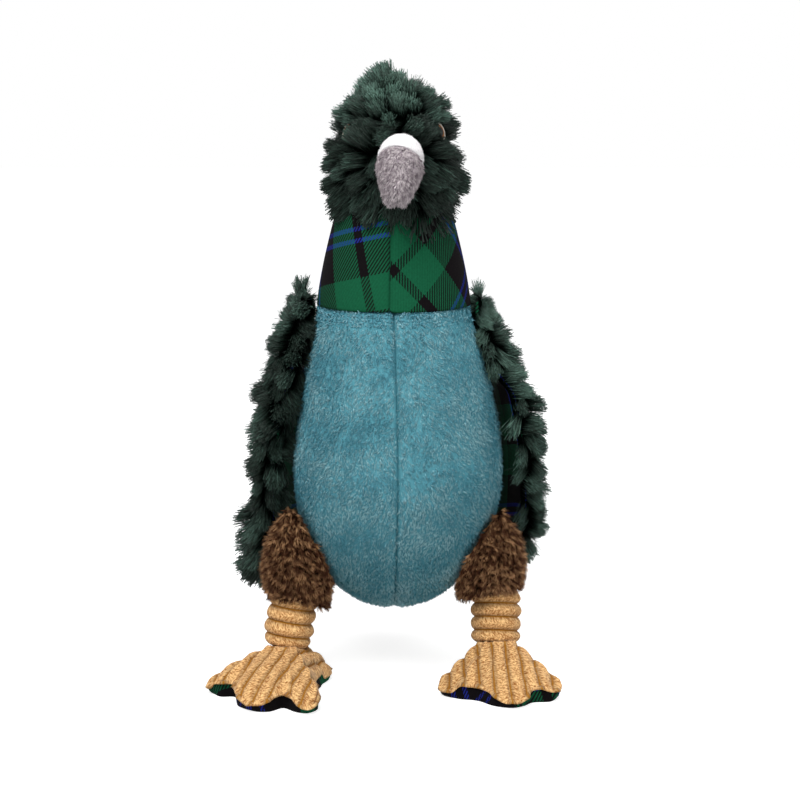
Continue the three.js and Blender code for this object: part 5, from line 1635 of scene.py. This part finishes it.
class BIRD_OT_ankles(Operator):
    """Sew the ringed corduroy sleeves of the ankles"""

    bl_idname = "bird.ankles"
    bl_label = "Ankles"

    def execute(self, context):
        toy = context.scene.bird_toy
        leg = toy.leg
        corduroy = shared_material("Wide-wale corduroy", corduroy_material, toy.colours)
        for label, stance in FOOT_STANCES.items():
            knee, ankle = JOINTS[f"knee_{label}"], JOINTS[f"ankle_{label}"]
            core = leg.ankle_radius - leg.groove
            bowl = np.linspace(0, math.pi / 2, 40)
            shaft = np.linspace(ankle[2], knee[2], 90)[1:]
            cap = np.linspace(0, math.pi / 2, 10)[1:]
            levels = [ankle[2] - core * np.cos(bowl), shaft, knee[2] + 0.35 * core * np.sin(cap)]
            height = np.concatenate(levels)
            reach = np.concatenate([np.sin(bowl), np.ones(len(shaft)), np.cos(cap)])
            reach = reach * (1 - 0.1 * smooth_step((height - knee[2] + 5 * MM) / (5 * MM)))
            turns = np.linspace(0, 2 * math.pi, ANKLE_COLUMNS, endpoint=False)
            slope = np.sin(turns) * stance["ring_across"] - np.cos(turns) * stance["ring_front"]
            phase = height[:, None] - ankle[2] + core * slope + stance["ring_drop"] * MM
            relief = np.minimum(1, 1.6 * reach)[:, None] * leg.groove * wale_crest(phase / leg.wale)
            low = smooth_step((knee[2] - height) / (knee[2] - ankle[2]))[:, None]
            aside = stance["knee_aside"] + (stance["aside"] - stance["knee_aside"]) * low
            middle_x = ankle[0] + aside * MM
            middle_y = ankle[1] - stance["forward"] * MM * low

            def ring(radius):
                x = middle_x + radius * np.sin(turns)
                y = middle_y - radius * np.cos(turns)
                return np.stack([x, y, height[:, None] + 0 * turns], -1)

            radius = reach[:, None] * core + relief
            grid = ring(radius + np.minimum(1, 4 * reach)[:, None] * fuzzy(ring(radius), 2))
            cloth = np.stack([phase, turns * core + 0 * phase], -1)
            cloth = np.concatenate([cloth, cloth[:, :1] + [0, 2 * math.pi * core]], 1)
            piece = lump(f"ankle_corduroy_{label}", grid, cloth, corduroy)
            nodes = [f"ankle_sleeve_{label}", f"ankle_stuffing_{label}"]
            place(piece, f"ankle_{label}", nodes)
        return {"FINISHED"}


FOOT_COLUMNS = 440
FOOT_ROWS = 84
# Outline of each foot round its ankle seat, to the bird's left and forward, in millimetres
FOOT_OUTLINES = {
    "left": [
        *[(0, -18), (13, -10), (19.8, 8), (28.8, 27), (29.2, 34), (25.3, 41), (16.3, 42), (11.8, 49)],
        *[(5.8, 52.5), (-2.2, 49), (-10.7, 39), (-23.2, 35), (-28.2, 27), (-20, 7), (-13, -10)],
    ],
    "right": [
        *[(0, -18), (15, -12), (20.5, -1), (17, 11), (14, 28), (16.5, 50), (12.5, 59), (6.5, 57)],
        *[(-0.3, 49), (-7.3, 56), (-15.3, 55), (-22.3, 46), (-24.8, 31), (-32.3, 30), (-38.3, 23)],
        *[(-34.3, 15), (-20.3, 2), (-13, -11)],
    ],
}
# Shares of a foot's reach where its sole leaves the floor and where it ends, and the first between toes
SOLE_FLAT = 0.92
SOLE_RIM = 0.985
WEB_FLAT = 0.955


def foot_outline(label, turns):
    """Reach of a foot's outline from its ankle seat, at turns from the front."""
    ring = np.array(FOOT_OUTLINES[label], float) * MM
    fine = refined(ring[None].repeat(2, 0), 12, True)[0]
    bearing = np.arctan2(fine[:, 0], fine[:, 1]) % (2 * math.pi)
    order = np.argsort(bearing)
    reach = np.hypot(fine[:, 0], fine[:, 1])[order]
    return np.interp(turns % (2 * math.pi), bearing[order], reach, period=2 * math.pi)


def web_share(turns, reach):
    """How deep the outline lies between two toes, from 0 on the toes to 1."""
    step = round(0.4 / (turns[1] - turns[0]))
    wide = np.max([np.roll(reach, shift) for shift in range(-step, step + 1)], axis=0)
    from_front = np.abs((turns + math.pi) % (2 * math.pi) - math.pi)
    return smooth_step((wide - reach) / (8 * MM)) * smooth_step((1.15 - from_front) / 0.3)


def sole_rise(share, web):
    """How far the sole has turned up at shares of the foot's reach, from 0 on the floor to 1."""
    flat = SOLE_FLAT + (WEB_FLAT - SOLE_FLAT) * web
    return np.clip((share - flat) / (SOLE_RIM - flat), 0, 1) ** 2


class BIRD_OT_feet(Operator):
    """Sew the webbed corduroy feet and their tartan soles"""

    bl_idname = "bird.feet"
    bl_label = "Feet"

    def execute(self, context):
        toy = context.scene.bird_toy
        corduroy = shared_material("Wide-wale corduroy", corduroy_material, toy.colours)
        turns = np.linspace(0, 2 * math.pi, FOOT_COLUMNS, endpoint=False)
        for label, stance in FOOT_STANCES.items():
            reach = foot_outline(label, turns)
            web = web_share(turns, reach)
            seam = toy.leg.foot_seam + toy.leg.web_lift * web
            self.sew_upper(label, stance, turns, reach, web, seam, toy.leg, corduroy)
            self.sew_sole(label, stance, turns[::2], reach[::2], web[::2], seam[::2], toy.colours)
        return {"FINISHED"}

    def seat(self, label, stance):
        """Place on the floor under the middle of the foot's ankle seat."""
        ankle = JOINTS[f"ankle_{label}"]
        return np.array([ankle[0] + stance["aside"] * MM, ankle[1] - stance["forward"] * MM, 0])

    def sew_upper(self, label, stance, turns, reach, web, seam, leg, corduroy):
        """The upper: a bowl for the ankle, fanned wales, and an edge that arches up between the toes."""
        pivot = JOINTS[f"ankle_{label}"][2]
        bowl = leg.ankle_radius + 0.3 * MM

        def dome(share):
            plump = stance["plump"]
            slope = (1 - plump) * np.maximum(1 - share, 0) ** 1.2
            slope = slope + plump * np.sqrt(np.maximum(1 - share**4, 0))
            return seam + (stance["height"] * MM - seam) * slope

        tries = np.linspace(5 * MM, bowl * 0.999, 80)[:, None]
        over = dome(tries / reach) > pivot - np.sqrt(bowl**2 - tries**2)
        lip = tries[np.maximum(over.sum(0) - 1, 0), 0]
        sink = np.linspace(0, 1, 12)[:-1, None] * lip
        bowl_z = pivot - np.sqrt(bowl**2 - sink**2)
        spread = np.sin(np.linspace(0, 1, FOOT_ROWS) * math.pi / 2)[:, None]
        radius = lip + (reach - lip) * spread
        under = np.array([0.985, 0.95, 0.9, 0.85, 0.5, 0])[:, None]
        far = np.concatenate([sink, radius, under * reach])
        under_z = sole_rise(under + 0.03, web) * (seam + 0.3 * MM) + 1.1 * MM
        z = np.concatenate([bowl_z, dome(radius / reach), under_z])
        x, y = far * np.sin(turns), -far * np.cos(turns)
        turn = math.radians(stance["wale_out"])
        lateral = x * math.cos(turn) + y * math.sin(turn)
        forward = x * math.sin(turn) - y * math.cos(turn)
        fan = 1 - 0.12 * np.clip((forward - 10 * MM) / (50 * MM), -0.6, 1)
        phase = lateral * fan + 0.5 * leg.wale
        grid = np.stack([x, y, z], -1) + self.seat(label, stance)
        fade = smooth_step(np.linspace(0, 12, FOOT_ROWS))
        shown = np.concatenate([np.zeros(len(sink)), fade, [0.5], np.zeros(5)])[:, None]
        normals = outward(grid, True, self.seat(label, stance) - np.array([0, 0, 30 * MM]))
        bulge = shown * (leg.groove * (wale_crest(phase / leg.wale) - 1) + fuzzy(grid, 4))
        grid = grid + normals * bulge[..., None]
        grid[..., 2] = np.maximum(grid[..., 2], 0.6 * MM)
        cloth = np.stack([phase, forward], -1)
        cloth = np.concatenate([cloth, cloth[:, :1]], 1)
        piece = lump(f"foot_corduroy_{label}", grid, cloth, corduroy)
        place(piece, f"foot_{label}", [f"foot_upper_{label}", f"foot_stuffing_{label}"])

    def sew_sole(self, label, stance, turns, reach, web, seam, colours):
        """The sole: flat on the floor, turned up behind the upper's edge all round."""
        turned_up = np.linspace(SOLE_FLAT, SOLE_RIM, 16)[1:]
        share = np.concatenate([np.linspace(0, SOLE_FLAT, 12), turned_up])[:, None]
        rise = sole_rise(share, web)
        x, y = share * reach * np.sin(turns), -share * reach * np.cos(turns)
        low = np.stack([x, y, rise * (seam + 0.3 * MM)], -1) + self.seat(label, stance)
        high = low + np.array([0, 0, 0.8 * MM])
        cloth = np.stack([x, y + rise * seam], -1)
        cloth = np.concatenate([cloth, cloth[:, :1]], 1)
        grain = turned_cloth(cloth, 0.3, (9 * MM, 5 * MM))
        sole = layer(f"foot_tartan_{label}", low, high, grain, tartan(colours), True)
        place(sole, f"foot_{label}", [f"foot_sole_{label}"])


# Stage

CAMERA_LENS = 94
CAMERA_SENSOR = 36
CAMERA_ASIDE = 2.9 * MM
CAMERA_PLACE = (-0.999, 0.286)
CAMERA_TARGET = (-0.008, 0.135)
# Place, size in metres and power in watts of each lamp
LAMPS = {
    "key": ((-0.25, -0.75, 1.0), 0.7, 14),
    "fill": ((0.9, -0.9, 0.5), 0.8, 3.5),
    "top": ((0.1, 0.3, 1.2), 0.8, 4.5),
}
LAMP_TARGET = (0, 0, 0.15)
FLOOR_REACH = 6
PAPER = (0.6, 0.6, 0.6, 1)
FLOOR_GLOW = 0.76
SKY_LIGHT = 0.45


def shown_directly(tree):
    """1 for rays from the camera, a reflection or through glass, and 0 for rays that only carry light."""
    ray = add(tree, "ShaderNodeLightPath").outputs
    seen = {0: ray["Is Camera Ray"], 1: ray["Is Glossy Ray"]}
    seen = add(tree, "ShaderNodeMath", seen, operation="MAXIMUM").outputs[0]
    seen = {0: seen, 1: ray["Is Transmission Ray"]}
    return add(tree, "ShaderNodeMath", seen, operation="MAXIMUM").outputs[0]


class BIRD_OT_stage(Operator):
    """Set up the camera, the lights and the floor"""

    bl_idname = "bird.stage"
    bl_label = "Stage"

    def execute(self, context):
        scene = context.scene
        scene.view_settings.view_transform = "Standard"
        self.camera(scene)
        self.lights(scene)
        self.floor(scene)
        self.world(scene)
        return {"FINISHED"}

    def camera(self, scene):
        data = bpy.data.cameras.new("camera")
        data.lens = CAMERA_LENS
        data.sensor_width = CAMERA_SENSOR
        camera = bpy.data.objects.new("camera", data)
        scene.collection.objects.link(camera)
        eye = Vector((MIDDLE_X + CAMERA_ASIDE, *CAMERA_PLACE))
        target = Vector((MIDDLE_X + CAMERA_ASIDE, *CAMERA_TARGET))
        camera.location = eye
        camera.rotation_euler = (target - eye).to_track_quat("-Z", "Y").to_euler()
        scene.camera = camera

    def lights(self, scene):
        for name, (spot, size, power) in LAMPS.items():
            data = bpy.data.lights.new(name, "AREA")
            data.size = size
            data.energy = power
            lamp = bpy.data.objects.new(name, data)
            lamp.location = spot
            lamp.rotation_euler = (Vector(LAMP_TARGET) - Vector(spot)).to_track_quat("-Z", "Y").to_euler()
            scene.collection.objects.link(lamp)

    def floor(self, scene):
        mesh = bpy.data.meshes.new("floor")
        corners = [(-1, -1), (1, -1), (1, 1), (-1, 1)]
        points = [(x * FLOOR_REACH, y * FLOOR_REACH, 0) for x, y in corners]
        mesh.from_pydata(points, [], [(0, 1, 2, 3)])
        material = bpy.data.materials.new("White paper")
        material.use_nodes = True
        tree = material.node_tree
        tree.nodes.clear()
        paper = add(tree, "ShaderNodeBsdfDiffuse", {"Color": PAPER}).outputs[0]
        seen = shown_directly(tree)
        strength = add(tree, "ShaderNodeMath", {0: seen, 1: FLOOR_GLOW}, operation="MULTIPLY").outputs[0]
        glow = add(tree, "ShaderNodeEmission", {"Color": (1, 1, 1, 1), "Strength": strength}).outputs[0]
        both = add(tree, "ShaderNodeAddShader", {0: paper, 1: glow}).outputs[0]
        add(tree, "ShaderNodeOutputMaterial", {"Surface": both})
        mesh.materials.append(material)
        floor = bpy.data.objects.new("floor", mesh)
        scene.collection.objects.link(floor)

    def world(self, scene):
        world = bpy.data.worlds.new("Studio")
        scene.world = world
        world.use_nodes = True
        tree = world.node_tree
        tree.nodes.clear()
        seen = shown_directly(tree)
        strength = add(tree, "ShaderNodeMapRange", {0: seen, 3: SKY_LIGHT}).outputs[0]
        sky = add(tree, "ShaderNodeBackground", {"Color": (1, 1, 1, 1), "Strength": strength}).outputs[0]
        add(tree, "ShaderNodeOutputWorld", {"Surface": sky})


class BIRD_PT_panel(Panel):
    """Sidebar panel with a button for each step and every setting"""

    bl_idname = "BIRD_PT_panel"
    bl_label = "Bird Toy"
    bl_space_type = "VIEW_3D"
    bl_region_type = "UI"
    bl_category = "Bird Toy"

    def draw(self, context):
        toy = context.scene.bird_toy
        for operator in OPERATORS:
            self.layout.operator(operator.bl_idname)
        for group in toy.bl_rna.properties.keys():
            if group not in {"rna_type", "name"}:
                box = self.layout.box()
                box.label(text=group.capitalize())
                sizes = getattr(toy, group)
                for size in sizes.bl_rna.properties.keys():
                    if size not in {"rna_type", "name"}:
                        box.prop(sizes, size)


GROUPS = (
    BodySizes,
    NeckSizes,
    HeadSizes,
    BeakSizes,
    WingSizes,
    TailSizes,
    LegSizes,
    PileSizes,
    ClothColours,
    BirdToySettings,
)
OPERATORS = (
    BIRD_OT_stage,
    BIRD_OT_body,
    BIRD_OT_squeaker,
    BIRD_OT_neck,
    BIRD_OT_head,
    BIRD_OT_beak,
    BIRD_OT_eyes,
    BIRD_OT_wings,
    BIRD_OT_tail,
    BIRD_OT_thighs,
    BIRD_OT_ankles,
    BIRD_OT_feet,
)


def register():
    for item in (*GROUPS, *OPERATORS, BIRD_PT_panel):
        bpy.utils.register_class(item)
    bpy.types.Scene.bird_toy = PointerProperty(type=BirdToySettings)


def unregister():
    del bpy.types.Scene.bird_toy
    for item in reversed((*GROUPS, *OPERATORS, BIRD_PT_panel)):
        bpy.utils.unregister_class(item)


def main():
    register()
    for operator in OPERATORS:
        family, action = operator.bl_idname.split(".")
        getattr(getattr(bpy.ops, family), action)()


if __name__ == "__main__":
    main()
